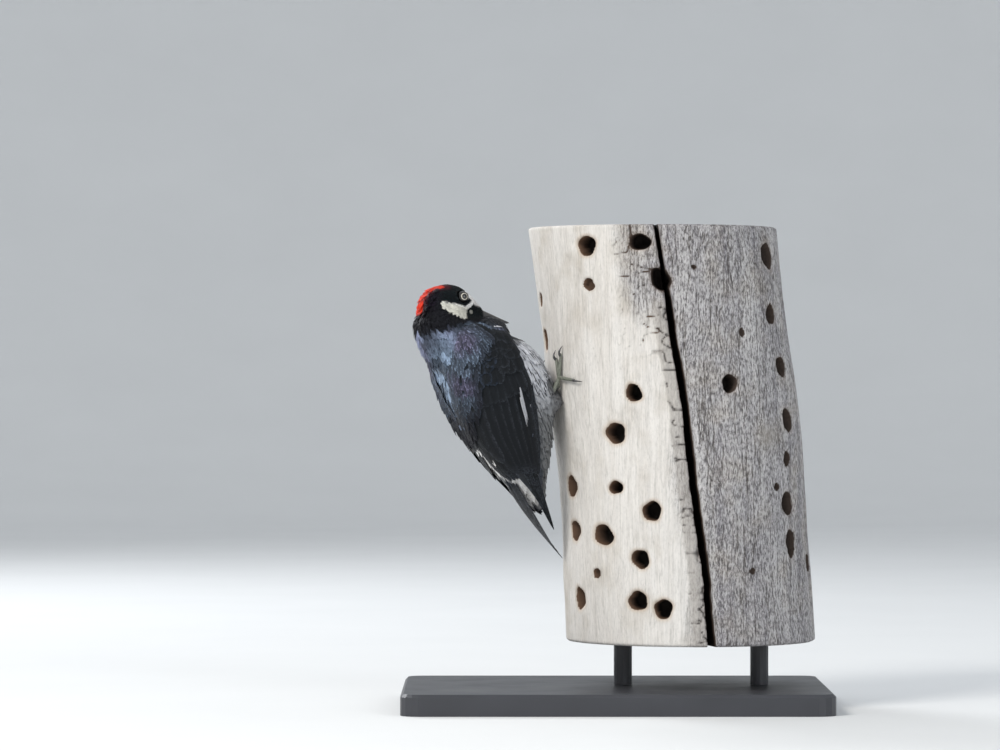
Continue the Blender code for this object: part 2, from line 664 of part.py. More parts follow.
def make_leg(side, bird, cutter):
    sign = 1 if side == "right" else -1
    azimuth, height = FOOT_AZIMUTH[side], FOOT_HEIGHT[side]
    ball = perch_point(azimuth, height, TOE_RADIUS * 1.2 + GAP)
    ankle = perch_point(azimuth - sign * 0.05, height - TARSUS_DROP, TARSUS_OUT)
    hip = bird.matrix_world @ (Vector((sign * 15, -14, -22)) * MM)
    knee = bird.matrix_world @ (Vector((sign * 19, -6, -31)) * MM)
    thigh_path = [hip.lerp(knee, share) for share in (0, 0.5)] + [knee]
    thigh_path += [knee.lerp(ankle, share) for share in (0.35, 0.65, 0.92)]
    radii = [r * MM for r in (9, 11, 10, 7, 4, 2.2)]
    foot_start = knee.lerp(ankle, 0.8)
    thigh = evened(tube(f"thigh_{side}", thigh_path, radii, "white_feather", 16), 1.0 * MM, 0.055)
    thigh.data.materials.clear()
    thigh.data.materials.append(material("white_feather"))
    tarsus = [foot_start, ankle, ankle.lerp(ball, 0.35), ankle.lerp(ball, 0.7), ball]
    shape = [TARSUS_RADIUS * share for share in (0.9, 1.0, 0.85, 0.9, 1.15)]
    foot = tube(f"foot_{side}", tarsus, shape, "scaly_skin")
    for toe, turn, length in TOES:
        heading = radians(turn) * sign
        low, high = TOE_RADIUS + 2 * GAP, TOE_RADIUS * 1.9 + GAP
        lifts = ((-0.1, high), (0.15, high), (0.4, low * 1.5), (0.7, low * 1.1), (1.0, low))
        thick = [TOE_RADIUS * share for share in (0.9, 1.0, 0.95, 0.9, 0.75)]
        combine(foot, guide(tube("toe", toe_path(azimuth, height, heading, length, lifts), thick,
                                 "scaly_skin")), "UNION", "MANIFOLD")
    combine(foot, cutter, "DIFFERENCE", "MANIFOLD")
    drop_chips(foot)
    for toe, turn, length in TOES:
        heading = radians(turn) * sign
        reach = 1 + CLAW_LENGTH / length
        lifts = []
        for share in spread(0, 1, 5):
            place = 1 + (reach - 1) * share
            lift = TOE_RADIUS * 0.9 * (1 - share) + 1.9 * MM * sin(pi * share ** 0.8) + 2.2 * GAP
            lifts.append((place - 0.12, lift))
        thick = [0.95 * MM * (1 - 0.8 * share) for share in spread(0, 1, 5)]
        claw = tube(f"claw_{side}_{toe}", toe_path(azimuth, height, heading, length, lifts), thick, "horn", 5)
        combine(claw, grown(foot), "DIFFERENCE", "MANIFOLD")
    for neighbour in (cutter, grown(foot, 2 * GAP), grown(claw, 2 * GAP), grown(bpy.data.objects["perch"]), foot):
        combine(thigh, neighbour, "DIFFERENCE", "MANIFOLD")
    drop_chips(thigh)


def build():
    clear_scene()
    make_stand()
    make_perch()
    bird = empty("bird_axes", body_axes())
    head_frame = empty("head_axes", head_axes(), bird)
    flesh = make_flesh(bird, head_frame)
    cutter = grown(flesh)
    pieces = part_flesh(flesh, bird, head_frame)
    make_eyes(head_frame, pieces["head"])
    make_bill(head_frame, cutter)
    for side, sign in (("right", 1), ("left", -1)):
        wing = wing_plate(f"wing_{side}", WING_EDGES, WING_THICK, sign, bird)
        combine(wing, cutter, "DIFFERENCE", "MANIFOLD")
        primaries = wing_plate(f"primaries_{side}", PRIMARY_EDGES, PRIMARY_THICK, sign, bird)
        combine(primaries, cutter, "DIFFERENCE", "MANIFOLD")
        combine(primaries, grown(wing), "DIFFERENCE", "MANIFOLD")
        drop_chips(primaries)
    tail = make_tail(bird)
    combine(tail, cutter, "DIFFERENCE", "MANIFOLD")
    for side in ("right", "left"):
        combine(tail, grown(bpy.data.objects[f"primaries_{side}"]), "DIFFERENCE", "MANIFOLD")
        make_leg(side, bird, cutter)


build()
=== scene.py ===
# %% [markdown]
# # An acorn woodpecker on a dead trunk
# This lesson dresses a plain solid model of a bird as a museum would show it. The solid model, called
# the frame, gives every size. It is loaded first, and nothing in it is moved. New pieces are then
# modelled over it, and each says which solids it stands for.

# %% Load the frame
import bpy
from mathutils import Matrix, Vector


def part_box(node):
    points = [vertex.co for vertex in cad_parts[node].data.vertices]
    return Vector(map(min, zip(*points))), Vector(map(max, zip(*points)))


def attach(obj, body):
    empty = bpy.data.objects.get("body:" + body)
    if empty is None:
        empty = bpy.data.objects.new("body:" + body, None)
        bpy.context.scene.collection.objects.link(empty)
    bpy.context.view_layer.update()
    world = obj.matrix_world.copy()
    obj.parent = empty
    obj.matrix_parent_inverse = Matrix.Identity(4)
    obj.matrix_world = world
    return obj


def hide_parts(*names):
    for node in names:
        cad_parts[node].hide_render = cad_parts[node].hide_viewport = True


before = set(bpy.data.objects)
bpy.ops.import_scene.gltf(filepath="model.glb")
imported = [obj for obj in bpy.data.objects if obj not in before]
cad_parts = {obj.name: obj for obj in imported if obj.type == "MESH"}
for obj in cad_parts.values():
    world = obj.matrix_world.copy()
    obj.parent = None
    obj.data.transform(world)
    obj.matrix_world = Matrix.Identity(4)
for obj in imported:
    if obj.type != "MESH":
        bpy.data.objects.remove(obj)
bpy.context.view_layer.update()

# %% [markdown]
# Blender measures in metres, and a bird is easier to think about in millimetres. Arrays of numbers
# hold thousands of feathers at once, and one seeded random source makes every run the same.

# %% Tools used all through the lesson
from functools import partial
from math import cos, pi, radians, sin, sqrt

import bmesh
import bpy
import numpy as np
from mathutils import Vector
from mathutils.bvhtree import BVHTree
from mathutils.kdtree import KDTree

MM = 0.001
SIDES = (("right", 1), ("left", -1))
chance = np.random.default_rng(11)


def ease(low, high, value):
    """0 below low, 1 above high and a smooth rise between. Low may be the larger of the two."""
    t = np.clip((np.asarray(value, float) - low) / (high - low), 0, 1)
    return t * t * (3 - 2 * t)


def mix(a, b, share):
    """Part of the way from a to b. The share is one number for each row."""
    share = np.asarray(share, float)
    return a + (b - a) * (share[..., None] if share.ndim else share)


def unit(v):
    return v / np.maximum(np.linalg.norm(v, axis=-1, keepdims=True), 1e-12)


def linear(hexes):
    """A colour from the screen, as sRGB hex, turned to the linear light that shaders use."""
    values = np.array([int(hexes[i:i + 2], 16) for i in (1, 3, 5)]) / 255
    return np.where(values <= 0.04045, values / 12.92, ((values + 0.055) / 1.055) ** 2.4)


def lattice(cell, seed):
    """A random number from 0 to 1 for each whole-number cell of space."""
    wave = np.sin(cell @ np.array([127.1, 311.7, 74.7]) + seed * 53.3) * 43758.5453
    return wave - np.floor(wave)


def cloud(points, size, seed=0.0):
    """Soft random values from 0 to 1 that change over about this size. The size may differ by axis."""
    at = np.asarray(points, float) / np.asarray(size, float)
    cell = np.floor(at)
    part = at - cell
    part = part * part * (3 - 2 * part)
    total = 0.0
    for corner in np.ndindex(2, 2, 2):
        corner = np.array(corner)
        total = total + np.prod(np.where(corner, part, 1 - part), axis=1) * lattice(cell + corner, seed)
    return total


print("a mid grey in linear light:", linear("#808080").round(3))

# %% [markdown]
# A mesh is a list of corners and a list of faces. Blender keeps each list packed, so whole arrays are
# read and written at once. A material can read a value or a colour that is stored at the corners.

# %% Reading and writing meshes
def select_only(*pieces):
    """Operators act on all that is selected, so everything else is let go first."""
    bpy.ops.object.select_all(action="DESELECT")
    for piece in pieces:
        piece.select_set(True)
    bpy.context.view_layer.objects.active = pieces[0]


def packed(values):
    return np.ascontiguousarray(values, np.float32).ravel()


def triples(items, key):
    values = np.empty(len(items) * 3, np.float32)
    items.foreach_get(key, values)
    return values.reshape(-1, 3).astype(float)


def corners_of(piece):
    return triples(piece.data.vertices, "co")


def put_corners(piece, places):
    piece.data.vertices.foreach_set("co", packed(places))
    piece.data.update()


def added(name, operator, **settings):
    """A primitive at the origin, added while nothing else is selected, under its own name."""
    bpy.ops.object.select_all(action="DESELECT")
    operator(**settings)
    piece = bpy.context.active_object
    piece.name = name
    return piece


def evened(piece, voxel=0, rounds=3):
    """Remeshes a piece with faces of one size, if a size is given, and smooths it."""
    if voxel:
        remesh = piece.modifiers.new("even", "REMESH")
        remesh.mode, remesh.voxel_size = "VOXEL", voxel
    piece.modifiers.new("soften", "SMOOTH").iterations = rounds
    select_only(piece)
    for modifier in list(piece.modifiers):
        bpy.ops.object.modifier_apply(modifier=modifier.name)
    piece.data.shade_smooth()


def mesh_piece(name, verts, faces):
    """An object at the origin with these corners and faces."""
    mesh = bpy.data.meshes.new(name)
    mesh.from_pydata(verts.tolist(), [], faces)
    mesh.validate()
    mesh.shade_smooth()
    piece = bpy.data.objects.new(name, mesh)
    bpy.context.scene.collection.objects.link(piece)
    return piece


def give(piece, name, values):
    """Stores one value, or one colour, for each corner of a mesh, for its material to read."""
    colour = values.ndim == 2
    layer = piece.data.attributes.new(name, "FLOAT_COLOR" if colour else "FLOAT", "POINT")
    if colour:
        values = np.concatenate([values, np.ones((len(values), 1))], axis=1)
    layer.data.foreach_set("color" if colour else "value", packed(values))


def give_map(piece, name, spots):
    """A UV map from one flat place for each corner of the mesh."""
    corners = np.empty(len(piece.data.loops), np.int32)
    piece.data.loops.foreach_get("vertex_index", corners)
    piece.data.uv_layers.new(name=name).data.foreach_set("uv", packed(spots[corners]))


def finish_piece(piece, finish, slot, *nodes):
    """Gives a piece its material, lets it ride on the frame and says which solids it stands for."""
    piece.data.materials.clear()
    piece.data.materials.append(finish)
    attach(piece, "root")
    if nodes:
        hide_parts(*nodes)
    print(piece.name, len(piece.data.polygons), "faces, stands for", nodes or "nothing")


print("the solid of the head has", len(corners_of(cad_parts["head"])), "corners")

# %% [markdown]
# A material is a small graph of nodes. One function adds a node, sets its options and links its
# inputs, so that a material reads as a list of what its surface does. What is the same all over a
# surface is set on the shader itself.

# %% The one helper for materials
def fill(pairs):
    """For each socket and value, links a socket, or sets a number, a vector or a hex colour."""
    for socket, value in pairs:
        if isinstance(value, bpy.types.NodeSocket):
            socket.id_data.links.new(value, socket)
        elif isinstance(value, (str, np.ndarray)):
            colour = linear(value) if isinstance(value, str) else value
            socket.default_value = (*colour, 1.0)[:len(socket.default_value)]
        else:
            socket.default_value = value


def add_node(tree, kind, *values, out=0, stops=(), **settings):
    """Adds a node and gives one of its outputs. A kind may be followed by its operation. Values fill
    the inputs in order, settings with a capital fill them by name, and the other settings are
    options. Stops are the places of a ramp and the grey at each."""
    kind, _, operation = kind.partition(" ")
    node = tree.nodes.new("ShaderNode" + kind)
    if operation:
        node.operation = operation
    if kind == "Mix":
        node.data_type = "RGBA"
    named = {key: value for key, value in settings.items() if key[0].isupper()}
    for key in settings.keys() - named.keys():
        setattr(node, key, settings[key])
    fill(zip([socket for socket in node.inputs if socket.enabled], values))
    fill((node.inputs[key], value) for key, value in named.items())
    for i, (place, grey) in enumerate(stops):
        ramp = node.color_ramp.elements
        element = ramp[i] if i < 2 else ramp.new(place)
        element.position, element.color = place, (grey, grey, grey, 1.0)
    if isinstance(out, str):
        return node.outputs[out]
    return [socket for socket in node.outputs if socket.enabled][out]


def new_finish(name):
    """An empty material, the function that adds a node to it, and its place in the object."""
    finish = bpy.data.materials.new(name)
    finish.use_nodes = True
    node = partial(add_node, finish.node_tree)
    return finish, node, node("TexCoord", out="Object")


def surface(finish, sockets):
    """Links or sets these sockets of the material's own shader."""
    shader = finish.node_tree.nodes["Principled BSDF"]
    fill((shader.inputs[key], value) for key, value in sockets.items())
    return finish

# %% [markdown]
# The bird leans away from the trunk and turns its back half towards us, so its pieces are easiest to
# describe in its own axes: x to its right, y from tail to head and z out of its back. The head has
# axes of its own, with y along the bill and z up through the crown.

# %% The bird's own axes and sizes
BODY_MIDDLE = np.array([-0.0779, -0.038, 0.202])
BODY_YAW, BODY_LEAN = radians(27), radians(23.4)
GAPE = np.array([-0.0983, -0.049, 0.260])
HEAD_YAW, HEAD_PITCH = radians(18), radians(-15)
UP = np.array([0.0, 0.0, 1.0])


def own_axes(yaw, forward, upward):
    """Three rows: right, along and out. Along points so far forward and so far up."""
    right = np.array([sin(yaw), -cos(yaw), 0])
    along = np.array([cos(yaw), sin(yaw), 0]) * forward + UP * upward
    return np.stack([right, along, np.cross(right, along)])


BIRD = own_axes(BODY_YAW, -sin(BODY_LEAN), cos(BODY_LEAN))
HEAD = own_axes(HEAD_YAW, cos(HEAD_PITCH), sin(HEAD_PITCH))
TAILWARD, BILLWARD = -BIRD[1], HEAD[1]


def in_bird(points):
    """Places in the bird's axes, in millimetres."""
    return (points - BODY_MIDDLE) @ BIRD.T / MM


def in_head(points):
    return (points - GAPE) @ HEAD.T / MM


def from_bird(millimetres):
    return np.asarray(millimetres) * MM @ BIRD + BODY_MIDDLE


def from_head(millimetres):
    return millimetres * MM @ HEAD + GAPE


def degrees_round(b):
    """How far round the body a place lies: 0 in the middle of the back and 180 on the belly."""
    return np.degrees(np.arctan2(np.abs(b[:, 0]), b[:, 2]))


print("bill points", BILLWARD.round(3), "tail points", TAILWARD.round(3))

# %% [markdown]
# Under the feathers lies one skin. The solids of head, neck, body, rump and thighs are copied,
# merged and remeshed as a single form, which closes the thin cuts between them. It is then drawn in
# by the depth of the coat, so that the tips of the feathers reach the outline of the solids.

# %% One skin under the coat
FLESH = ("head", "neck", "body", "rump", "thigh_left", "thigh_right")
SKIN_VOXEL = 1.0 * MM
# distance from the gape in millimetres, then the coat's depth, and a feather's length and width there
COAT_TABLE = np.array([
    (0, 0.35, 1.6, 0.9), (8, 0.45, 2.0, 1.1), (14, 0.7, 3.0, 1.6), (22, 1.1, 4.6, 2.4),
    (32, 1.6, 7.0, 3.8), (46, 2.3, 10.0, 5.6), (65, 2.7, 12.0, 6.6), (110, 2.8, 13.0, 7.0),
    (150, 2.2, 10.0, 5.4),
])
DEPTH, LENGTH, WIDTH = 1, 2, 3
THIGH_EDGE, THIGH_WHOLE = 11, 7  # millimetres from the leg's line
LEG_SMALLER = 0.55


def knee_and_ankle(side_name):
    """The two ends of each feathered thigh, from the sizes of the solid's leg."""
    low, high = map(np.array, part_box(f"thigh_{side_name}"))
    middle = (low + high) / 2
    return middle + (high - low) * (-0.2, 0, 0.3), middle + (high - low) * (0.25, 0, -0.4)


LEGS = [knee_and_ankle(side_name) for side_name, _ in SIDES]


def thigh_share(points):
    """1 on a thigh, 0 away from it, and the way down the leg."""
    share, lie = np.zeros(len(points)), np.zeros((len(points), 3))
    for knee, ankle in LEGS:
        down = ankle - knee
        along = np.clip(((points - knee) @ down) / (down @ down), 0, 1)
        away = np.linalg.norm(points - knee - along[:, None] * down, axis=1) / MM
        near = ease(THIGH_EDGE, THIGH_WHOLE, away)
        lie[near > share] = unit(down)
        share = np.maximum(share, near)
    return share, lie


def coat_size(points, column):
    """One column of the table at each place. Feathers on the legs are half as large."""
    away = np.linalg.norm(points - GAPE, axis=-1) / MM
    size = np.interp(away, COAT_TABLE[:, 0], COAT_TABLE[:, column])
    return size * (1 - LEG_SMALLER * thigh_share(points)[0])


def make_skin():
    form = bmesh.new()
    for name in FLESH:
        form.from_mesh(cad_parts[name].data)
    bmesh.ops.remove_doubles(form, verts=form.verts, dist=1e-6)
    mesh = bpy.data.meshes.new("skin")
    form.to_mesh(mesh)
    form.free()
    skin = bpy.data.objects.new("skin", mesh)
    bpy.context.scene.collection.objects.link(skin)
    evened(skin, SKIN_VOXEL, 10)
    places = corners_of(skin)
    outs = triples(skin.data.vertex_normals, "vector")
    put_corners(skin, places - outs * (coat_size(places, DEPTH) * MM)[:, None])
    evened(skin)
    return skin


skin = make_skin()
skin_places = corners_of(skin)
skin_normals = triples(skin.data.vertex_normals, "vector")
skin_faces = [tuple(face.vertices) for face in skin.data.polygons]
skin_tree = BVHTree.FromPolygons(skin_places.tolist(), skin_faces)
face_normals = unit(np.array([skin_normals[list(face)].mean(axis=0) for face in skin_faces]))
print("skin:", len(skin_faces), "faces")


def on_skin(points):
    """For each place, the nearest place on the skin and the way out of it."""
    spots, outs = np.empty((len(points), 3)), np.empty((len(points), 3))
    for i, point in enumerate(points):
        spots[i], _, face, _ = skin_tree.find_nearest(point)
        outs[i] = face_normals[face]
    return spots, outs

# %% [markdown]
# Markings belong to places on the bird, so one function gives the colour of any place, and both the
# skin and the feathers ask it. A woodpecker of this kind is black above and on the breast, with a
# white forehead joined by a band before the eye to a creamy cheek, a red patch on the hind crown,
# white rump and belly, and black streaks down the shafts of its flank feathers.

# %% The markings
# slate, lilac, teal and plum are a painted sheen on black feathers
BLACK, SOOT, CHARCOAL = linear("#131216"), linear("#17161b"), linear("#111214")
WHITE, CREAM, FLANK, BELLY = linear("#e6e4e2"), linear("#d3d1c6"), linear("#9c9fa9"), linear("#c8c9ce")
RED, DARK_RED, SHEEN_PLUM = linear("#d0341c"), linear("#4a151d"), linear("#33263a")
SHEEN_SLATE, SHEEN_LILAC, SHEEN_TEAL = linear("#a6bcd8"), linear("#a8a4ca"), linear("#142a2a")
# the thigh and vent greys are partly the bird's own dusky grey and partly painted shade
THIGH_GREY_AND_SHADE, VENT_GREY_AND_SHADE = linear("#6e6e6f"), linear("#6c6d6e")


def markings(points):
    """The colour, the edge colour and the share of black shaft streak for each place."""
    h, b = in_head(points), in_bird(points)
    hx, hy, hz = np.abs(h[:, 0]), h[:, 1], h[:, 2]
    station, turn = b[:, 1], degrees_round(b)
    rough = cloud(points, 4 * MM, 1) - 0.5
    colour = edge = np.tile(BLACK, (len(points), 1))
    # mantle and back: black, with a painted sheen of blue and lilac on the edges and faintly
    # over the vanes, stronger towards the shoulders and in broad patches
    nape = -7 + 0.65 * np.clip(hy, -30, 0)  # how far the black of the nape comes down
    wider = 18 * ease(40, 50, station)
    back = ease(nape + 2, nape - 5, hz + 3 * rough) * ease(118 + wider, 95 + wider, turn)
    sheen_share = (0.12 + 0.88 * ease(-16, 16, station)) * ease(135, 100, turn)
    sheen_share = sheen_share * (0.25 + 0.95 * ease(0.3, 0.7, cloud(points, 9 * MM, 2)))
    sheen_hue = mix(SHEEN_SLATE, SHEEN_LILAC, 0.6 * ease(0.3, 0.7, cloud(points, 14 * MM, 5)))
    colour = mix(colour, mix(SOOT, sheen_hue * 0.6, 0.85 * sheen_share), back)
    edge = mix(edge, sheen_hue, back * sheen_share)
    # the head is a deep, velvety black, with a painted sheen of green before and purple behind
    on_head = ease(-9, -3, hz) * ease(18, 14, hx)
    edge = mix(edge, SHEEN_TEAL, on_head * ease(-26, -18, hy) * 0.9)
    edge = mix(edge, SHEEN_PLUM, on_head * ease(-20, -27, hy) * 0.9)
    colour = mix(colour, BLACK * 0.5, on_head)
    # breast, belly and flanks, greyer lower down: partly duskier plumage and partly painted shade
    bib = 33 - 9 * ease(126, 170, turn) + 5 * rough
    side = ease(98, 112, turn + 8 * rough) * ease(bib + 3, bib - 3, station) * (1 - on_head)
    lower = ease(14, -26, station + 8 * rough)
    colour = mix(colour, mix(BELLY, VENT_GREY_AND_SHADE, lower), side)
    edge = mix(edge, mix(FLANK, VENT_GREY_AND_SHADE * 0.8, lower), side)
    streak = side * (0.4 + 0.6 * ease(168, 145, turn)) * (0.8 + 0.2 * ease(-30, 5, station))
    # white rump between the wings, and white with dark marks under the tail
    rump = ease(-19, -24, station + 4 * rough) * ease(-50, -45, station + 3 * rough) * ease(92, 80, turn)
    under = ease(-47, -51, station + 3 * rough) * ease(-77, -70, station)
    under = under * ease(100, 80, turn) * ease(14, 24, turn)
    rump = np.maximum(rump, under)
    colour, edge = mix(colour, WHITE, rump), mix(edge, WHITE, rump)
    # cheek, band before the eye, forehead and the spot at the nostril
    cheek_top = np.interp(hy, (-23, -10, -3, 2), (0.2, 2.2, 1.6, 0.5)) + 0.8 * rough
    cheek_low = np.interp(hy, (-23, -15, -4, 0), (-1.8, -5.6, -6.8, -5.5)) + 0.8 * rough
    cheek = ease(-0.4, 0.4, cheek_top - hz) * ease(-0.4, 0.4, hz - cheek_low)
    cheek = cheek * ease(-21.8, -20.4, hy) * ease(-1.6, -2.8, hy) * ease(5, 7, hx)
    band_line = np.interp(hz, (0, 7.5, 11), (-3.6, 2.2, 3.6))
    band = ease(1.9, 1.1, np.abs(hy - band_line + 0.4 * rough)) * ease(0.0, 1.0, hz) * ease(3.0, 4.5, hx)
    forehead = ease(-5.4, -4.6, hy + rough) * ease(8.2, 7.2, hy) * ease(4.0, 6.0, hz)
    forehead = forehead * ease(1.0, 0.0, hx - np.interp(hy, (-5, -2, 3, 8), (5.8, 6.2, 6.4, 6.5)))
    spot = ease(1.5, 0.8, np.hypot(hy - 1.3, hz + 0.3)) * (hx > 5) * 0.55
    pale = np.maximum(np.maximum(cheek, band), np.maximum(forehead, spot))
    colour = mix(colour, mix(WHITE, CREAM, ease(3, 0, hz)), pale)
    edge = mix(edge, colour, pale)
    # the red patch, and a dark red margin to it
    crown = ease(-18.8, -21.5, hy + rough) * ease(6.9, 5.4, hx + rough) * ease(-12, -10, hz)
    colour, edge = mix(colour, RED, crown), mix(edge, RED, crown)
    margin = ease(-14.0, -18.5, hy) * ease(9.5, 6.5, hx) * ease(-13, -10, hz) * (1 - crown)
    colour, edge = mix(colour, DARK_RED, margin * 0.7), mix(edge, DARK_RED, margin * 0.7)
    # the thighs turn grey: partly their own colour and partly painted shade
    leg = ease(0.15, 0.95, thigh_share(points)[0] + 0.5 * rough) * (1 - on_head)
    colour, edge = mix(colour, THIGH_GREY_AND_SHADE, leg), mix(edge, THIGH_GREY_AND_SHADE * 0.6, leg)
    return colour, edge, streak * (1 - pale) * (1 - 0.15 * leg)


print("colour on the crown:", markings(from_head(np.array([[0.0, -26.0, 8.0]])))[0].round(3))


# %% [markdown]
# Each feather lies back from the bill over the head, then down the neck and along the body to the
# tail, and down the leg on the thighs. The direction is laid flat on the skin wherever it is used.

# %% The lie of the coat
def flat_on(way, outs):
    return unit(way - outs * np.sum(way * outs, axis=1, keepdims=True))


def lie_of(points, outs):
    """The way that a feather points at each place on the skin."""
    h, b = in_head(points), in_bird(points)
    lie = mix(-BILLWARD, TAILWARD, ease(0.15, 0.85, outs @ -BILLWARD))
    low = np.maximum(ease(2, -13, h[:, 2]), ease(14, 19, np.abs(h[:, 0])))
    low = np.maximum(low, ease(-24, -30, h[:, 1]) * ease(6, -2, h[:, 2]))
    outward = np.sign(b[:, 0]) * 0.35 * ease(45, 56, b[:, 1]) * low
    share, leg = thigh_share(points)
    return flat_on(mix(mix(lie, TAILWARD, low) + BIRD[0] * outward[:, None], leg, share), outs)


print("feathers point on average", lie_of(skin_places, skin_normals).mean(axis=0).round(2))

# %% [markdown]
# A contour feather is keratin: a thin shaft with barbs to both sides that hook into one another as a
# smooth vane. Its material reads the map that each vane carries, across from 0 to 1 and along from
# root to tip. Fine slanting barbs tint and roughen it, its edge takes a second colour, and a dark
# streak may follow the shaft. Real barbs stand 0.1 mm apart, too fine to show, so they are drawn at
# about 0.6 mm. The short feathers of head and neck are like velvet: they shine least of all.

# %% The material of feathers
COOL_SHINE = (0.80, 0.89, 1.0, 1.0)


def feather_finish(name, roughness, barbs, bump, sheen, gloss):
    """The finish of a vane that shows this many barbs from root to tip."""
    finish, node, spot = new_finish(name)
    vane = node("UVMap", uv_map="vane")
    across, along = (node("SeparateXYZ", vane, out=axis) for axis in "XY")
    side = node("Math MULTIPLY", node("Math ABSOLUTE", node("Math SUBTRACT", across, 0.5)), 2.0)
    colour, edge = (node("Attribute", attribute_name=key) for key in ("tint", "fringe"))
    streak = node("Attribute", attribute_name="streak", out="Fac")
    # the edge colour begins part of the way out and covers the tip, broken up where it is worn; on the
    # mantle and shoulders the edge colour is a painted sheen, shown as broken painted glints
    rim = node("ValToRGB", side, stops=((0.35, 0.0), (1.0, 1.0)))
    tip = node("ValToRGB", along, stops=((0.72, 0.0), (1.0, 1.0)))
    worn = node("TexNoise", Vector=spot, Scale=900.0, Detail=3.0)
    worn = node("ValToRGB", worn, stops=((0.40, 0.08), (0.60, 1.0)))
    rim = node("Math MULTIPLY", node("Math MAXIMUM", rim, tip), worn)
    colour = node("Mix", node("Math MULTIPLY", rim, 0.95), colour, edge)
    # the dark streak is a drop round the shaft
    drop = node("Math ABSOLUTE", node("Math SUBTRACT", along, 0.72))
    drop = node("Math MULTIPLY_ADD", drop, 0.75, side)
    drop = node("ValToRGB", drop, stops=((0.29, 1.0), (0.40, 0.0)))
    colour = node("Mix", node("Math MULTIPLY", drop, streak), colour, BLACK)
    # barbs slant out and forward from the shaft
    slant = node("Math SUBTRACT", along, node("Math MULTIPLY", side, 0.22))
    wave = node("Math SINE", node("Math MULTIPLY", slant, barbs * 2 * pi))
    mottle = node("TexNoise", Vector=spot, Scale=420.0, Detail=3.0)
    light = node("Math MULTIPLY_ADD", wave, 0.06, node("Math MULTIPLY_ADD", mottle, 0.7, 0.65))
    shade = node("CombineColor", light, light, light)
    shaft = node("ValToRGB", side, stops=((0.03, 1.0), (0.1, 0.0)))
    height = node("Math MULTIPLY_ADD", shaft, 2.0, wave)
    return surface(finish, {
        "Base Color": node("Mix", 1.0, colour, shade, blend_type="MULTIPLY"),
        "Roughness": node("Math MULTIPLY_ADD", mottle, 0.2, roughness - 0.1),
        "Normal": node("Bump", Height=height, Strength=bump, Distance=0.12 * MM),
        "Sheen Weight": sheen, "Sheen Roughness": 0.5,
        "Specular IOR Level": gloss, "Specular Tint": COOL_SHINE,
    })


SOFT_FEATHER = feather_finish("keratin_contour_feather", 0.50, 16, 0.35, 0.06, 0.35)
FLIGHT_FEATHER = feather_finish("keratin_flight_feather", 0.50, 60, 0.3, 0.02, 0.18)
VELVET_FEATHER = feather_finish("keratin_velvet_feather", 0.58, 16, 0.35, 0.01, 0.12)
print("finishes:", SOFT_FEATHER.name, FLIGHT_FEATHER.name, VELVET_FEATHER.name)

# %% [markdown]
# Feathers grow in an even, staggered pattern. Many candidate roots are scattered over the skin,
# closer together where feathers are small. Each is then kept only if no kept root is nearer than its
# own spacing, which spreads them as evenly as real ones.

# %% Where the feathers grow
FEATHER_SPACING = 0.40  # of a feather's width
CANDIDATES = 9.0  # tried for each spacing's square of skin


def spacing_at(points):
    return coat_size(points, WIDTH) * MM * FEATHER_SPACING


def scatter(keep):
    """Evenly spread roots on the faces of the skin where keep is true."""
    tri = np.array([(f[0], f[i], f[i + 1]) for f in skin_faces for i in range(1, len(f) - 1)])
    a, b, c = (skin_places[tri[:, i]] for i in range(3))
    middle = (a + b + c) / 3
    size = np.linalg.norm(np.cross(b - a, c - a), axis=1) / 2
    weight = size / spacing_at(middle) ** 2 * keep(middle)
    count = int(weight.sum() * CANDIDATES)
    pick = chance.choice(len(tri), count, p=weight / weight.sum())
    r1, r2 = np.sqrt(chance.random((count, 1))), chance.random((count, 1))
    spots = a[pick] * (1 - r1) + b[pick] * (r1 * (1 - r2)) + c[pick] * (r1 * r2)
    reach = spacing_at(spots)
    tree = KDTree(count)
    for i, spot in enumerate(spots):
        tree.insert(spot, i)
    tree.balance()
    open_spot, kept = np.ones(count, bool), []
    for i in range(count):
        if open_spot[i]:
            kept.append(i)
            for _, near, _ in tree.find_range(spots[i], reach[i]):
                open_spot[near] = False
    return spots[kept]


reach = spacing_at(skin_places) / MM
print("feathers stand", reach.min().round(2), "to", reach.max().round(2), "mm apart")

# %% [markdown]
# A feather is a grid of small faces. Its middle line walks over the skin from the root in short
# steps, so it follows the body's curve, and its sides are found the same way. It lifts from the skin
# towards the tip, and its vane is a little arched. All feathers of a coat are joined as one mesh.

# %% Laying feathers over the skin
ROW_SHARE = np.array([0, 0.22, 0.45, 0.66, 0.83, 0.94, 1.0])
ROW_WIDTH = np.array([0.30, 0.72, 0.95, 1.0, 0.86, 0.58, 0.16])
LANCE_WIDTH = np.array([0.40, 0.85, 1.0, 0.88, 0.62, 0.36, 0.06])
ACROSS = np.array([-1, -0.5, 0, 0.5, 1])
ARCH = 0.28
ROOT_LIFT = 0.06  # of the height of the tip
BODY_END = -52  # behind this station a feather may go straight on, past the skin
TURN_SPREAD = 0.09  # radians


def grid_faces(count, rows, columns):
    """The faces of many equal grids of corners."""
    r, c = np.meshgrid(np.arange(rows - 1), np.arange(columns - 1), indexing="ij")
    first = (r * columns + c).ravel()
    one = np.stack([first, first + 1, first + columns + 1, first + columns], axis=1)
    return (one[None] + (np.arange(count) * rows * columns)[:, None, None]).reshape(-1, 4).tolist()


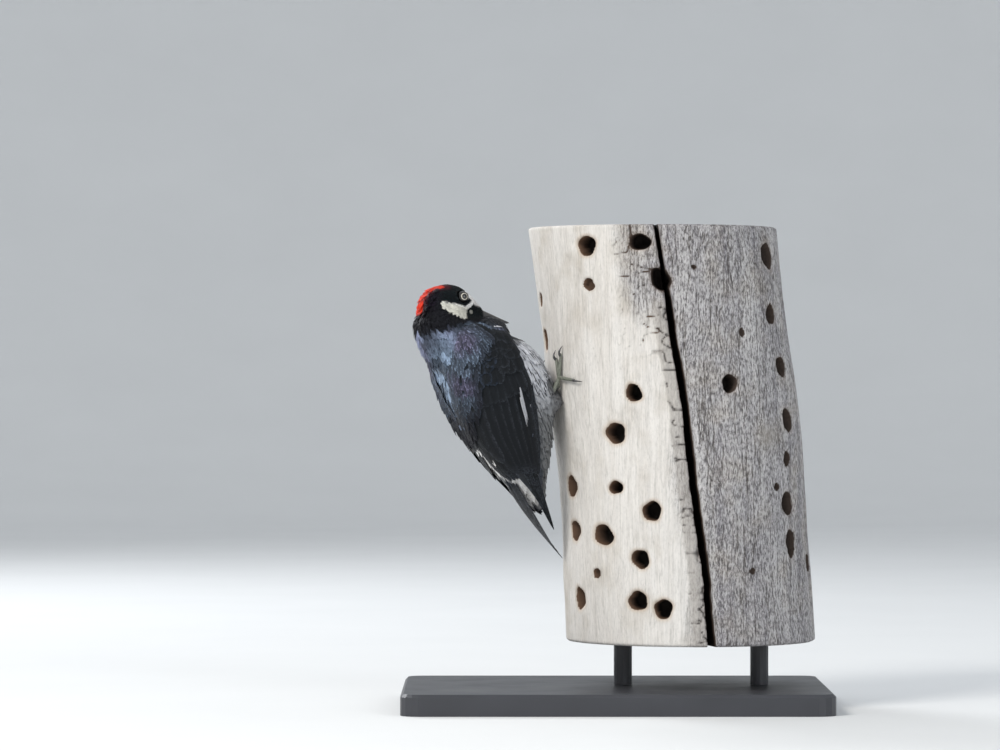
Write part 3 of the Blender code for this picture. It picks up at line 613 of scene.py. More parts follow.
def lay_feathers(roots, lengths, widths, lifts, profile, ragged):
    """The corners of every feather, as an array of feathers x rows x columns x 3."""
    spots, outs = on_skin(roots)
    lie = lie_of(spots, outs)
    turn = chance.normal(0, TURN_SPREAD, (len(roots), 1))
    lie = unit(lie * np.cos(turn) + np.cross(outs, lie) * np.sin(turn))
    grid = np.empty((len(roots), len(ROW_SHARE), len(ACROSS), 3))
    before, free = 0.0, np.zeros((len(roots), 1), bool)
    for row, share in enumerate(ROW_SHARE):
        if row:
            step = (share - before) * lengths
            wanted = spots + lie * step[:, None]
            near, outs_near = on_skin(wanted)
            left_skin = np.linalg.norm(near - wanted, axis=1) > 0.45 * step
            free = free | (left_skin & (in_bird(wanted)[:, 1] < BODY_END))[:, None]
            spots = np.where(free, wanted, near)
            outs = np.where(free, outs, unit(outs * 0.4 + outs_near * 0.6))
            lie = np.where(free, lie, flat_on(lie * 0.55 + lie_of(spots, outs) * 0.45, outs))
        before = share
        half = profile[row] * widths / 2
        across = np.cross(lie, outs) * half[:, None]
        rise = (ROOT_LIFT + (1 - ROOT_LIFT) * share ** 0.8) * lifts
        edges = [spots + across * sign for sign in (-1, 1)]
        low, high = (np.where(free, edge, on_skin(edge)[0]) for edge in edges)
        for column, place in enumerate(ACROSS):
            base = spots + ((high if place > 0 else low) - spots) * abs(place)
            camber = ARCH * half * place * place * share
            grid[:, row, column] = base + outs * (rise - camber)[:, None]
    # barbs part here and there, so the edge isn't a clean line
    split = chance.normal(0, ragged, grid.shape[:3]) * (ROW_SHARE > 0.5)[None, :, None]
    return grid + lie[:, None, None, :] * (split * lengths[:, None, None])[..., None]

# %% [markdown]
# Each vane carries its colours and two maps. One map runs across and along every vane, for the
# barbs. The other keeps a small patch for each feather on an unwrap of the whole skin, so that the
# colours of a coat could be stored as one flat sheet, where neighbours on the bird stay neighbours.

# %% Maps and colours of the vanes
PATCH = 0.003  # how wide a feather's patch is
LENGTH_SPREAD, WIDTH_SPREAD = (0.85, 1.15), (0.88, 1.12)
SHADE_SPREAD, EDGE_SPREAD = (0.86, 1.14), (0.7, 1.3)


def unwrap_root(points):
    """A flat place for each root, on an unwrap of the skin: round it one way and along it the other."""
    h, b = in_head(points), in_bird(points)
    on_head = ease(-10, -7, h[:, 2]) * ease(18, 14, np.abs(h[:, 0])) > 0.5
    around = np.where(on_head, np.arctan2(h[:, 0], h[:, 2] + 1), np.arctan2(b[:, 0], b[:, 2]))
    head_along = 0.72 + np.clip((h[:, 1] + 36) / 54, 0, 1) * 0.27
    body_along = np.clip((b[:, 1] + 90) / 170, 0, 1) * 0.69
    spot = np.stack([around / (2 * pi) + 0.5, np.where(on_head, head_along, body_along)], 1)
    return 0.005 + spot * 0.99


def vane_piece(name, grid, colour, edge, streak, patch, cell=PATCH):
    """One mesh from a grid of corners for each feather, with its colours and maps."""
    count, rows, columns = grid.shape[:3]
    piece = mesh_piece(name, grid.reshape(-1, 3), grid_faces(count, rows, columns))
    each = rows * columns
    for key, values in (("tint", colour), ("fringe", edge), ("streak", streak)):
        give(piece, key, np.repeat(values, each, axis=0))
    u, v = np.meshgrid(np.linspace(0, 1, columns), np.linspace(0, 1, rows))
    vane = np.tile(np.stack([u.ravel(), v.ravel()], axis=1), (count, 1))
    give_map(piece, "vane", vane)
    give_map(piece, "OFBake", np.repeat(patch, each, axis=0) + (vane - 0.5) * cell)
    return piece


def raised(points):
    """Feathers of the hind crown stand up a little, and those of the nape lie close."""
    h = in_head(points)
    crest = ease(-19, -25, h[:, 1]) * ease(9, 6, np.abs(h[:, 0])) * ease(-9, -3, h[:, 2])
    crown = ease(6, 11, h[:, 2]) * ease(4, 0, h[:, 1])
    nape = ease(-24, -30, h[:, 1]) * ease(-10, -14, h[:, 2]) * ease(-50, -36, h[:, 2])
    return 1 + 1.0 * crest - 0.5 * crown * (1 - crest) - 0.35 * nape


def coat_piece(name, slot, finish, keep, long, wide, loose, profile, ragged, marked):
    """Feathers over the part of the skin where keep is true. Marked is the share that has a streak."""
    roots = scatter(keep)
    count = len(roots)
    lengths = coat_size(roots, LENGTH) * MM * long * chance.uniform(*LENGTH_SPREAD, count)
    lengths = lengths * (1 - 0.45 * ease(-60, -76, in_bird(roots)[:, 1]))
    widths = coat_size(roots, WIDTH) * MM * wide * chance.uniform(*WIDTH_SPREAD, count)
    lifts = coat_size(roots, DEPTH) * MM * (0.98 + chance.normal(0, loose, count)) * raised(roots)
    grid = lay_feathers(roots, lengths, widths, lifts, profile, ragged)
    colour, edge, streak = markings(grid[:, -3, 2])  # what shows of a feather is its last third
    colour = colour * chance.uniform(*SHADE_SPREAD, (count, 1))
    edge = edge * chance.uniform(*EDGE_SPREAD, (count, 1))
    streak = streak * (chance.random(count) < marked)
    finish_piece(vane_piece(name, grid, colour, edge, streak, unwrap_root(roots)), finish, slot)

# %% [markdown]
# The coat is parted into pieces of a size that a computer handles well: head, neck, back, breast and
# flanks, and rump with the feathers under the tail. Where a folded wing covers the body, none grow.

# %% Head, neck and body coats
HEAD_FOOT, HEAD_SIDE = -8, 16
EYE_SPOT, EYE_BARE, HORN_START = (8.6, -6.6, 7.4), 4.1, 12.4
BACK_AND_BELLY = 95  # degrees round the body where they meet


def head_share(points):
    h = in_head(points)
    return (h[:, 2] > HEAD_FOOT) & (np.abs(h[:, 0]) < HEAD_SIDE)


def head_coat(points):
    """The head, but bare where the eyeballs and the horn of the bill come out."""
    h = in_head(points)
    h[:, 0] = np.abs(h[:, 0])
    clear = (np.linalg.norm(h - EYE_SPOT, axis=1) > EYE_BARE) & (h[:, 1] < HORN_START)
    return head_share(points) & clear


def under_wing(b):
    """Where the folded wing lies, but for a margin at its edges."""
    stations = (-53, -47, -36, -20, 0, 20, 36, 46, 54)
    inner = np.interp(b[:, 1], stations, (56, 30, 17, 16, 21, 32, 42, 50, 60)) + 14
    outer = np.interp(b[:, 1], (-53, -20, 0, 20, 36, 46, 54), (78, 86, 91, 96, 103, 100, 84)) - 6
    turn = degrees_round(b)
    return (turn > inner) & (turn < outer) & (b[:, 1] > -50) & (b[:, 1] < 50)


def stationed(low, high, belly):
    """The part of the body between two stations, on the belly's side or on the back's."""
    def keep(points):
        b = in_bird(points)
        within = (b[:, 1] >= low) & (b[:, 1] < high) & ((degrees_round(b) >= BACK_AND_BELLY) == belly)
        return within & ~head_share(points) & ~under_wing(b)
    return keep


finish_piece(skin, SOFT_FEATHER, "black_feather", *FLESH)
skin_colour, _, skin_streak = markings(skin_places)
# the skin shows only between feathers, and takes the markings' colour darkened to 0.6 as painted shade
for key, values in (("tint", skin_colour * 0.6), ("fringe", skin_colour * 0.6), ("streak", skin_streak * 0)):
    give(skin, key, values)

LANCE = (LANCE_WIDTH, 0.06)
# name, slot, finish and place, then length and width as shares of the table's, how loosely the
# feathers lie, their shape and raggedness, and the share of them that is streaked
for coat in (
    ("head", "head_feather", VELVET_FEATHER, head_coat, 1.0, 1.0, 0.12, ROW_WIDTH, 0.035, 1.0),
    ("neck", "black_feather", VELVET_FEATHER, stationed(44, 200, False), 1.1, 0.8, 0.2, *LANCE, 1.0),
    ("back", "black_feather", SOFT_FEATHER, stationed(-30, 44, False), 1.2, 0.8, 0.25, *LANCE, 1.0),
    ("breast", "white_feather", SOFT_FEATHER, stationed(0, 200, True), 1.1, 0.85, 0.15, *LANCE, 0.6),
    ("belly", "white_feather", SOFT_FEATHER, stationed(-200, 0, True), 1.1, 0.85, 0.15, *LANCE, 0.4),
    ("rump", "white_feather", SOFT_FEATHER, stationed(-200, -30, False), 1.35, 0.8, 0.15, *LANCE, 1.0),
):
    coat_piece("coat_" + coat[0], *coat[1:])

# %% [markdown]
# A folded wing is a fan shut like a hand of cards. Rows of small coverts shingle its upper third, one
# row of greater coverts lies under them, and then come the long secondaries, each under the one
# nearer the back. The primaries reach past them all as a narrow point. Every feather is placed by
# how far it lies along the body and how far across the wing, from its inner to its outer edge.

# %% The bed that a folded wing lies on
# station, height of its back and of its belly over the body's axis, and half its width
WING_BED = np.array([
    (-100, 4, -7, 8.0), (-94, 5, -8, 9.5), (-80, 8.5, -10, 13), (-62, 14, -14, 18), (-46, 19.5, -20, 22.5),
    (-30, 24, -28, 26), (-12, 29, -35.5, 29), (8, 32, -38.5, 30.5), (26, 32.5, -33, 30),
    (44, 30, -25, 29.5), (55, 24, -15, 23), (60, 18, -6, 14),
])
# station, and degrees round from the middle of the back
INNER_EDGE = np.array([(-94, 74), (-80, 56), (-66, 42), (-53, 30), (-40, 14), (-20, 8), (0, 13), (20, 24),
                       (36, 34), (46, 40), (56, 50)])
OUTER_EDGE = np.array([(-94, 84), (-80, 86), (-66, 88), (-53, 89), (-36, 92), (-20, 96), (0, 101),
                       (20, 106), (36, 113), (46, 112), (56, 96)])
SQUARE = 2.3  # 2 is an ellipse, and more is boxier
WING_SPAN = 45.0


def eased_table(table, column):
    """A table of stations read as a smooth curve: one value for each millimetre, averaged over 9."""
    steps = np.arange(table[0, 0] - 12, table[-1, 0] + 12)
    values = np.interp(steps, table[:, 0], table[:, column])
    window = np.hanning(11)[1:-1]
    return steps, np.convolve(np.pad(values, 4, mode="edge"), window / window.sum(), mode="valid")


BED = [eased_table(WING_BED, column) for column in (1, 2, 3)]
EDGES = [eased_table(table, 1) for table in (INNER_EDGE, OUTER_EDGE)]


def wing_point(station, share, shift, out, side):
    """A place on the wing. Share is 0 at its inner edge and 1 at its outer edge, and shift moves it
    across by millimetres. Out is the height over the bed, in millimetres."""
    back, belly, half = (np.interp(station, *curve) for curve in BED)
    inner, outer = (np.interp(station, *curve) for curve in EDGES)
    middle, depth = (back + belly) / 2, (back - belly) / 2
    angle = np.radians(inner + (outer - inner) * share) + shift / ((depth + half) / 2)
    s, c = np.sin(angle), np.cos(angle)
    reach = (np.abs(s) ** SQUARE + np.abs(c) ** SQUARE) ** (-1 / SQUARE)
    width, height = side * s * reach * (half + out), middle + c * reach * (depth + out)
    return from_bird(np.stack([width, station + 0 * angle, height], -1))


VANE_SHARE = np.array([0, 0.15, 0.3, 0.45, 0.6, 0.72, 0.82, 0.9, 0.96, 1.0])
ROUND_TIP = np.array([0.45, 0.8, 0.95, 1.0, 1.0, 0.98, 0.92, 0.76, 0.5, 0.12])
POINTED_TIP = np.array([0.6, 0.85, 1.0, 1.0, 0.94, 0.83, 0.68, 0.48, 0.28, 0.06])
LANCE_TIP = np.array([0.5, 0.85, 1.0, 0.97, 0.84, 0.70, 0.54, 0.37, 0.20, 0.04])
ALONG, OVER = VANE_SHARE[:, None], np.linspace(-1, 1, 7)[None]


def flight_feather(side, root, tip, width, layers, profile=ROUND_TIP, split=0.004):
    """The corners of one feather, rows by columns. Root and tip are (station, share across), and
    layers are the heights of the root and the tip over the bed."""
    bow = np.sin(pi * ALONG) * chance.normal(0, 0.006)
    station = root[0] + (tip[0] - root[0]) * ALONG - 0.05 * width * np.abs(OVER) * (1 - ALONG)
    share = root[1] + (tip[1] - root[1]) * ALONG + bow
    shift = OVER * profile[:, None] * width / 2
    shaft = 0.18 * np.exp(-(OVER / 0.12) ** 2)
    out = layers[0] + (layers[1] - layers[0]) * ALONG - 0.22 * OVER * OVER + shaft
    out = out * (0.3 + 0.7 * ease(-0.10, 0.15, share + shift / WING_SPAN))  # thin where it meets the back
    ragged = chance.normal(0, split, (ALONG.size, OVER.size)) * (ALONG > 0.5) * abs(tip[0] - root[0])
    return wing_point(station + ragged + 0 * OVER, share, shift, out, side)


def feather_sheet(name, feathers, *nodes):
    """Long feathers joined as one mesh, each with its own place in a chequered bake map."""
    count = len(feathers)
    across = int(np.ceil(sqrt(count)))
    cell = 1 / across
    patch = np.array([((i % across + 0.5) * cell, (i // across + 0.5) * cell) for i in range(count)])
    piece = vane_piece(name, *map(np.array, zip(*feathers)), np.zeros(count), patch, cell * 0.92)
    finish_piece(piece, FLIGHT_FEATHER, "black_feather", *nodes)


print("the middle of the right wing lies at", wing_point(0, 0.5, 0, 0, 1).round(3))

# %% [markdown]
# The wing is laid from below upwards: an underlay painted dark as shade, the secondaries, the
# coverts of the primaries and then the rows that shingle the shoulder. Loose feathers whose blue
# edges are a painted sheen fall over its inner part from the shoulder, and the primaries slide out
# from under it all.

# %% Wings
# rows of coverts from the shoulder down: station of the root, of the tip, first and last share across,
# how many, their width, and their height over the bed at the root and at the tip, in millimetres
COVERT_ROWS = (
    (57, 45, 0.16, 0.80, 5, 8.0, 1.2, 2.0), (53, 41, 0.08, 0.92, 7, 8.0, 1.2, 2.4),
    (48, 36, 0.05, 0.95, 9, 7.6, 1.3, 2.6), (43, 31, 0.04, 0.96, 10, 7.4, 1.3, 2.8),
    (38, 25, 0.03, 0.97, 10, 7.6, 1.3, 2.9), (32, 18, 0.03, 0.97, 10, 8.0, 1.3, 2.9),
)
GREATER_COVERTS = (24, 4, 0.06, 0.90, 10, 7.6, 1.1, 2.5)
# the pale rim colour is painted light, for lit edges of the primaries and of the tail
EDGE_LIGHT, SHEEN_BLUE, PALE_LIT_RIM = linear("#34373d"), linear("#363f4f"), linear("#a9adb3")


def wing_piece(side_name, side):
    feathers = []

    def add(*shape, colour=CHARCOAL, edge=EDGE_LIGHT):
        grid = flight_feather(side, *shape)
        feathers.append((grid, colour * chance.uniform(0.85, 1.15), edge * chance.uniform(*EDGE_SPREAD)))

    # a dark underlay, so that no light comes between the feathers; its half-dark colour is painted shade
    for share in np.linspace(0.06, 0.94, 8):
        add((52, share), (-50, share), 12, (0.35, 0.3), colour=CHARCOAL * 0.5)
    # secondaries and tertials: the one nearest the back lies on top
    for i in range(9):
        share = 0.93 - 0.80 * i / 8
        tip = (-52 + 1.2 * i + 9 * max(0, i - 5), share - 0.03 * (i > 5))
        add((14, share - 0.02), tip, 9.5, (0.7 + 0.12 * i, 0.8 + 0.2 * i))
    # primary coverts and the false wing lie along the outer edge
    for i in range(4):
        tip = (-6 + 5 * i, 0.985 - 0.03 * i)
        add((24 - i, 0.97 - 0.035 * i), tip, 4.4, (1.2, 1.5 + 0.15 * i), POINTED_TIP)
    # the white bases of the primaries show as a slit, and a few white feathers line the wrist
    for i in range(3):
        add((8 - 3 * i, 0.85 - 0.010 * i), (-14 - 2 * i, 0.885 - 0.012 * i), 1.2, (2.9, 2.0),
            LANCE_TIP, 0.02, colour=BELLY * 0.8, edge=BELLY * 0.8)
        add((52, 1.05 + 0.03 * i), (48.8 - 0.7 * i, 1.075 + 0.02 * i), 1.5, (1.6, 2.6),
            LANCE_TIP, 0.02, colour=BELLY, edge=BELLY)
    root, tip, first, last, count, width, low, high = GREATER_COVERTS
    for i in range(count):
        share = last + (first - last) * i / (count - 1)
        add((root, share), (tip + chance.normal(0, 0.5), share), width, (low, high + 0.04 * i))
    for row, (root, tip, first, last, count, width, low, high) in reversed(list(enumerate(COVERT_ROWS))):
        for i in range(count):
            share = last + (first - last) * (i + 0.5 * (row % 2)) / count
            place = share + chance.normal(0, 0.012)
            start = (root + chance.normal(0, 0.8), place)
            add(start, (tip + chance.normal(0, 1.3), place), width,
                (low, high + chance.normal(0, 0.15)), ROUND_TIP, 0.015,
                edge=SHEEN_BLUE if share < 0.6 else EDGE_LIGHT)
    feather_sheet(f"wing_feathers_{side_name}", feathers, f"wing_{side_name}")


def scapulars(side_name, side):
    """Loose feathers that fall from the shoulder over the inner wing, with blue edges of painted sheen."""
    feathers = []
    for station in np.arange(-22, 54, 2.6):
        reach = 0.07 + 0.32 * ease(-24, 10, station) + 0.36 * ease(26, 46, station)
        for share in np.arange(-0.09, reach, 0.062):
            share = share + chance.normal(0, 0.015)
            end = station + chance.normal(0, 1.4)
            root = (min(end + chance.uniform(10, 14), 57), share - 0.02)
            tip = (end, share + 0.02 + chance.normal(0, 0.012))
            width, high = chance.uniform(3.6, 5.0), 3.2 + chance.normal(0, 0.22)
            grid = flight_feather(side, root, tip, width, (2.0, high), LANCE_TIP, 0.03)
            sheen_hue = mix(SHEEN_SLATE, SHEEN_LILAC, ease(0.3, 0.7, cloud(grid[6, 3][None], 14 * MM, 5)[0]))
            shoulder_sheen = ease(reach + 0.06, reach - 0.22, share) * ease(-14, 26, station)
            shoulder_sheen = shoulder_sheen * chance.uniform(0.25, 1.0)
            colour = mix(SOOT, sheen_hue * 0.4, 0.4 * shoulder_sheen) * chance.uniform(0.8, 1.2)
            feathers.append((grid, colour, mix(SOOT, sheen_hue, shoulder_sheen)))
    feather_sheet(f"shoulder_feathers_{side_name}", feathers)


def primaries_piece(side_name, side):
    """Long narrow feathers that taper to the wing's tip. The inner ones are painted paler, as a lit rim."""
    feathers = []
    for i in range(7):
        inner = max(0, i - 4)
        tip = (-92 + 5.2 * i, 0.62 - 0.03 * i)
        layers = (0.35 + 0.1 * i, 0.4 + 0.16 * i)
        grid = flight_feather(side, (-12, 0.90 - 0.06 * i), tip, 6.4, layers, POINTED_TIP)
        colour = mix(CHARCOAL, PALE_LIT_RIM, 0.03 * inner) * chance.uniform(0.55, 0.85)
        feathers.append((grid, colour, EDGE_LIGHT * (1 + 0.4 * inner) * chance.uniform(*EDGE_SPREAD)))
    feather_sheet(f"primary_feathers_{side_name}", feathers, f"primaries_{side_name}")


for side_name, side in SIDES:
    wing_piece(side_name, side)
    scapulars(side_name, side)
    primaries_piece(side_name, side)

# %% [markdown]
# The perch is a leaning, slightly uneven cylinder. Tail and toes rest on it, so its surface is a
# function that they can all ask: a turn round the trunk, a height, and a distance out.

# %% The surface of the trunk
PERCH_LOW, PERCH_HIGH, PERCH_RADIUS = 0.0436, 0.3155, 0.0812
PERCH_FOOT_X, PERCH_LEAN, PERCH_BOW = 0.0502, 0.092, 0.0026


def trunk_middle(height):
    up = np.asarray(height, float) - PERCH_LOW
    x = PERCH_FOOT_X - PERCH_LEAN * up + PERCH_BOW * np.sin(pi * up / (PERCH_HIGH - PERCH_LOW))
    return np.stack([x, 0 * x, height + 0 * x], axis=-1)


def trunk_out(turn):
    return np.stack([np.sin(turn), -np.cos(turn), 0 * np.asarray(turn, float)], axis=-1)


def trunk_point(turn, height, out=0.0):
    uneven = 0.0009 * np.sin(3 * turn + 22 * height) + 0.0007 * np.sin(2 * turn - 45 * height + 1)
    return trunk_middle(height) + trunk_out(turn) * np.asarray(PERCH_RADIUS + uneven + out)[..., None]


print("the trunk is", round((PERCH_HIGH - PERCH_LOW) / MM, 1), "mm tall")

# %% [markdown]
# A woodpecker's tail is a prop. Its feathers are stiff and pointed, with thick shafts that press on
# the bark, and the middle pair is the longest and lies on top.

# %% The tail
TAIL_TURN = radians(-83)
TAIL_ROOT = from_bird((0.0, -46.0, 13.0))
TAIL_END = trunk_point(TAIL_TURN, 0.0985, 1.05 * MM)
TAIL_TIP = np.array([0.7, 0.85, 0.95, 1.0, 0.98, 0.92, 0.82, 0.62, 0.36, 0.05])


def tail_feather(rank, sign, wide=4.4):
    """One feather. Rank 0 is the middle pair and 4 the outermost."""
    t = ALONG * (1.0 - 0.055 * rank)
    along = unit(TAIL_END - TAIL_ROOT)
    across = unit(np.cross(BIRD[2] * (1 - t[..., None]) + trunk_out(TAIL_TURN) * t[..., None], along))
    up = np.cross(along, across)
    fan = (0.42 + 0.58 * np.sin(np.minimum(t * 1.7, 1) * pi / 2)) * (1 - 0.12 * t)
    width = wide * TAIL_TIP[:, None] * (0.8 + 0.2 * fan)
    shift = sign * (0.8 + 2.45 * rank) * fan + OVER * width
    arch = 4.0 * np.sin(pi * t) + 1.6 - 0.24 * rank - 0.009 * shift ** 2
    shaft = 0.35 * np.exp(-(OVER / 0.15) ** 2) * (1 - t)
    rise = (arch + shaft - 0.25 * OVER * OVER) * (1 - 0.45 * t)
    place = TAIL_ROOT + (TAIL_END - TAIL_ROOT) * t[..., None]
    return place + across * (shift * MM)[..., None] + up * (rise * MM)[..., None]


def tail_piece():
    feathers = []
    for rank in range(4, -1, -1):
        edge = EDGE_LIGHT * (2.6 if rank == 0 else 0.7)
        for sign in (-1, 1):
            feathers.append((tail_feather(rank, sign), SOOT * chance.uniform(0.7, 1.0), edge))
    for sign in (-1, 1):  # the outermost vane is pale and thin
        # its pale colour is painted light, a lit edge
        feathers.append((tail_feather(4.75, sign, 1.5), PALE_LIT_RIM, PALE_LIT_RIM))
    feather_sheet("tail_feathers", feathers, "tail")


tail_piece()

# %% [markdown]
# The bill is two wedges of horn, each a little hollow on the side. A ball whose rings run from the
# root to the tip is a good start: its poles become the two ends, and each ring is moved and sized by
# how far along it lies. Horn is keratin polished by use: nearly black, with a soft gloss.

# %% Shaping a ball into horn and toes
def shaped_ball(name, segments, rings, shape):
    """A ball whose corners are moved by shape(share from root to tip, turn round it)."""
    sphere = bpy.ops.mesh.primitive_uv_sphere_add
    piece = added(name, sphere, segments=segments, ring_count=rings, radius=1)
    places = corners_of(piece)
    share = np.arccos(np.clip(places[:, 2], -1, 1)) / pi
    put_corners(piece, shape(share, np.arctan2(places[:, 1], places[:, 0])))
    select_only(piece)
    bpy.ops.object.mode_set(mode="EDIT")
    bpy.ops.mesh.select_all(action="SELECT")
    bpy.ops.mesh.normals_make_consistent(inside=False)
    bpy.ops.object.mode_set(mode="OBJECT")
    piece.data.shade_smooth()
    return piece


def horn_finish():
    """Keratin horn, grown in layers and polished: fine long streaks, paler in places."""
    finish, node, spot = new_finish("polished_black_horn")
    grain = node("TexNoise", Vector=spot, Scale=900.0, Detail=4.0)
    broad = node("TexNoise", Vector=spot, Scale=160.0, Detail=2.0)
    colour = node("Mix", broad, "#1c1c1f", "#3a3a3e")
    return surface(finish, {
        "Base Color": node("Mix", node("Math MULTIPLY", grain, 0.25), colour, "#55534f"),
        "Roughness": node("Math MULTIPLY_ADD", grain, 0.2, 0.22),
        "Normal": node("Bump", Height=grain, Strength=0.15, Distance=0.1 * MM),
        "IOR": 1.55,
    })


HORN = horn_finish()
BILL_TIP, BILL_ROOT = 31.0, 5.0
ROOT_HALF, TIP_HALF = 4.3, 0.75  # half the bill's width, in millimetres
HOLLOW = 0.10


def bill_half(name, node, side, root_depth, tip_depth, reach):
    """One half of the bill. Side is 1 for the upper half and -1 for the lower."""
    def shape(share, turn):
        depth = root_depth + (tip_depth - root_depth) * share ** 0.9
        half = ROOT_HALF + (TIP_HALF - ROOT_HALF) * share ** 0.8
        close = np.sqrt(np.clip(1 - (np.clip(share - 0.94, 0, 1) / 0.06) ** 2, 0, 1))
        close = close * ease(-0.01, 0.05, share)
        s, c = np.sin(turn), np.cos(turn)
        ridge = np.abs(s) ** 1.25 * (1 - HOLLOW * np.sin(2 * turn) ** 2)
        rise = np.where(s > 0, ridge * depth, -0.06 * np.abs(s)) * close + 0.12
        along = BILL_ROOT + (reach - BILL_ROOT) * share
        return from_head(np.stack([c * half * close, along, side * rise], 1))
    finish_piece(shaped_ball(name, 28, 40, shape), HORN, "horn", node)


bill_half("bill_horn_upper", "bill_upper", 1, 4.6, 0.5, BILL_TIP)
bill_half("bill_horn_lower", "bill_lower", -1, 3.4, 0.35, BILL_TIP - 0.8)

# %% [markdown]
# The eye of this woodpecker has a pale iris round a black pupil. The eyeball is one glossy ball, set
# as deep as a real one, whose rings are numbered out from the middle of the pupil for its material.
# A thin bare ring of grey lid closes round it.

# %% Eyes and lids
EYE_PLACE = (-6.6, 7.4)  # behind the gape and above it
EYE_RADIUS, EYE_OUT = 4.0, 1.1
HEAD_HALF, HEAD_TOP, HEAD_FLOOR = 10.75, 14.2, -9.05


def eye_finish():
    """A wet cornea over iris and pupil. The value ring is 0 at the middle and 1 at the back."""
    finish, node, spot = new_finish("wet_eyeball")
    ring = node("Attribute", attribute_name="ring", out="Fac")
    fleck = node("TexNoise", Vector=spot, Scale=1800.0, Detail=3.0)
    iris = node("Mix", fleck, "#dedace", "#b9b2a4")
    mask = node("ValToRGB", ring, stops=((0.142, 0.0), (0.151, 1.0), (0.185, 1.0), (0.199, 0.0)))
    colour = node("Mix", mask, "#060606", iris)
    return surface(finish, {"Base Color": colour, "Roughness": 0.12, "IOR": 1.38,
                            "Coat Weight": 1.0, "Coat Roughness": 0.02})


def lid_finish():
    """Bare skin round the eye: fine wrinkles, dark grey and dry."""
    finish, node, spot = new_finish("bare_lid_skin")
    fine = node("TexNoise", Vector=spot, Scale=1500.0, Detail=3.0)
    bend = node("Bump", Height=fine, Strength=0.4, Distance=0.1 * MM)
    colour = node("Mix", fine, "#111012", "#2b2928")
    return surface(finish, {"Base Color": colour, "Normal": bend, "Roughness": 0.55})


WET_EYE, LID_SKIN = eye_finish(), lid_finish()


def eye_frame(side):
    """The middle of an eye, and three rows: across it, up it and out along its gaze."""
    level = (2 * EYE_PLACE[1] - HEAD_TOP - HEAD_FLOOR) / (HEAD_TOP - HEAD_FLOOR)
    half = HEAD_HALF * sqrt(1 - level ** 2)
    out = unit(np.array([side * 1.0, 0.10, 0.18]))
    up = unit(UP - out * out[2])
    middle = np.array([side * (half - EYE_RADIUS + EYE_OUT), *EYE_PLACE])
    return middle, np.stack([np.cross(up, out), up, out])


def eyeball(side_name, side):
    middle, axes = eye_frame(side)

    def shape(share, turn):
        flat = np.sin(pi * share)
        ball = np.stack([np.cos(turn) * flat, np.sin(turn) * flat, np.cos(pi * share)], 1)
        return from_head(middle + ball @ axes * EYE_RADIUS)
    ball = shaped_ball(f"eyeball_{side_name}", 48, 60, shape)
    out = (in_head(corners_of(ball)) - middle) @ axes[2] / EYE_RADIUS
    give(ball, "ring", np.arccos(np.clip(out, -1, 1)) / pi)
    finish_piece(ball, WET_EYE, "iris", f"eye_{side_name}")


def eyelid(side_name, side):
    """A ring that narrows to the corners of the eye, with a slightly heavier upper lid."""
    middle, axes = eye_frame(side)
    lid = added(f"eyelid_{side_name}", bpy.ops.mesh.primitive_torus_add,
                major_segments=64, minor_segments=12, major_radius=1, minor_radius=0.25)
    x, y, z = corners_of(lid).T
    turn = np.arctan2(y, x)
    opening = 2.72 + 0.12 * np.cos(2 * turn)
    thick = 1.25 + 0.35 * np.sin(turn)
    flat = opening + (np.hypot(x, y) - 1) * thick * 1.3
    rise = np.sqrt(EYE_RADIUS ** 2 - opening ** 2) + z * thick + 0.05
    ring = np.stack([np.cos(turn) * flat, np.sin(turn) * flat, rise], 1)
    put_corners(lid, from_head(middle + ring @ axes))
    lid.data.shade_smooth()
    finish_piece(lid, LID_SKIN, "scaly_skin")


for side_name, side in SIDES:
    eyeball(side_name, side)
    eyelid(side_name, side)

# %% [markdown]
# Each foot grips with two toes up, one to the side and one back. A toe is a tube along the bark whose
# rings swell into scutes on top and pads below. Claws are curved horn that bite into the wood.

# %% Feet and claws
FOOT_TURN = {1: radians(-60), -1: radians(-93)}  # by side: 1 is the right
FOOT_HEIGHT = {1: 0.217, -1: 0.208}
TARSUS_DROP, TARSUS_OUT = 0.017, 0.011
TOE_RADIUS = 1.25
TOES = (("inner", -14, 13), ("middle", 12, 16), ("outer", 98, 15), ("hind", -150, 8))
CLAW_LENGTH = 7
FOOT_VOXEL = 0.22 * MM
LINE_STEPS = 41


def foot_finish():
    """Scaled skin: horny grey-green plates with dark, dusty joints between."""
    finish, node, spot = new_finish("scaled_foot_skin")
    scale = node("TexVoronoi", Vector=spot, Scale=1100.0, feature="DISTANCE_TO_EDGE")
    broad = node("TexNoise", Vector=spot, Scale=300.0, Detail=3.0)
    joint = node("ValToRGB", scale, stops=((0.0, 1.0), (0.12, 0.0)))
    colour = node("Mix", broad, "#5c6055", "#8d9084")
    return surface(finish, {
        "Base Color": node("Mix", node("Math MULTIPLY", joint, 0.7), colour, "#34362f"),
        "Normal": node("Bump", Height=scale, Strength=0.6, Distance=0.15 * MM),
        "Roughness": 0.5,
    })


FOOT_SKIN = foot_finish()


def toe_line(side, heading, length, shares, lifts):
    """Places along a toe, from the ball of the foot, each as far off the bark as its lift."""
    way = radians(heading) * side
    turn = FOOT_TURN[side] + sin(way) * length * MM * shares / PERCH_RADIUS
    height = FOOT_HEIGHT[side] + cos(way) * length * MM * shares
    return trunk_point(turn, height, lifts * MM)


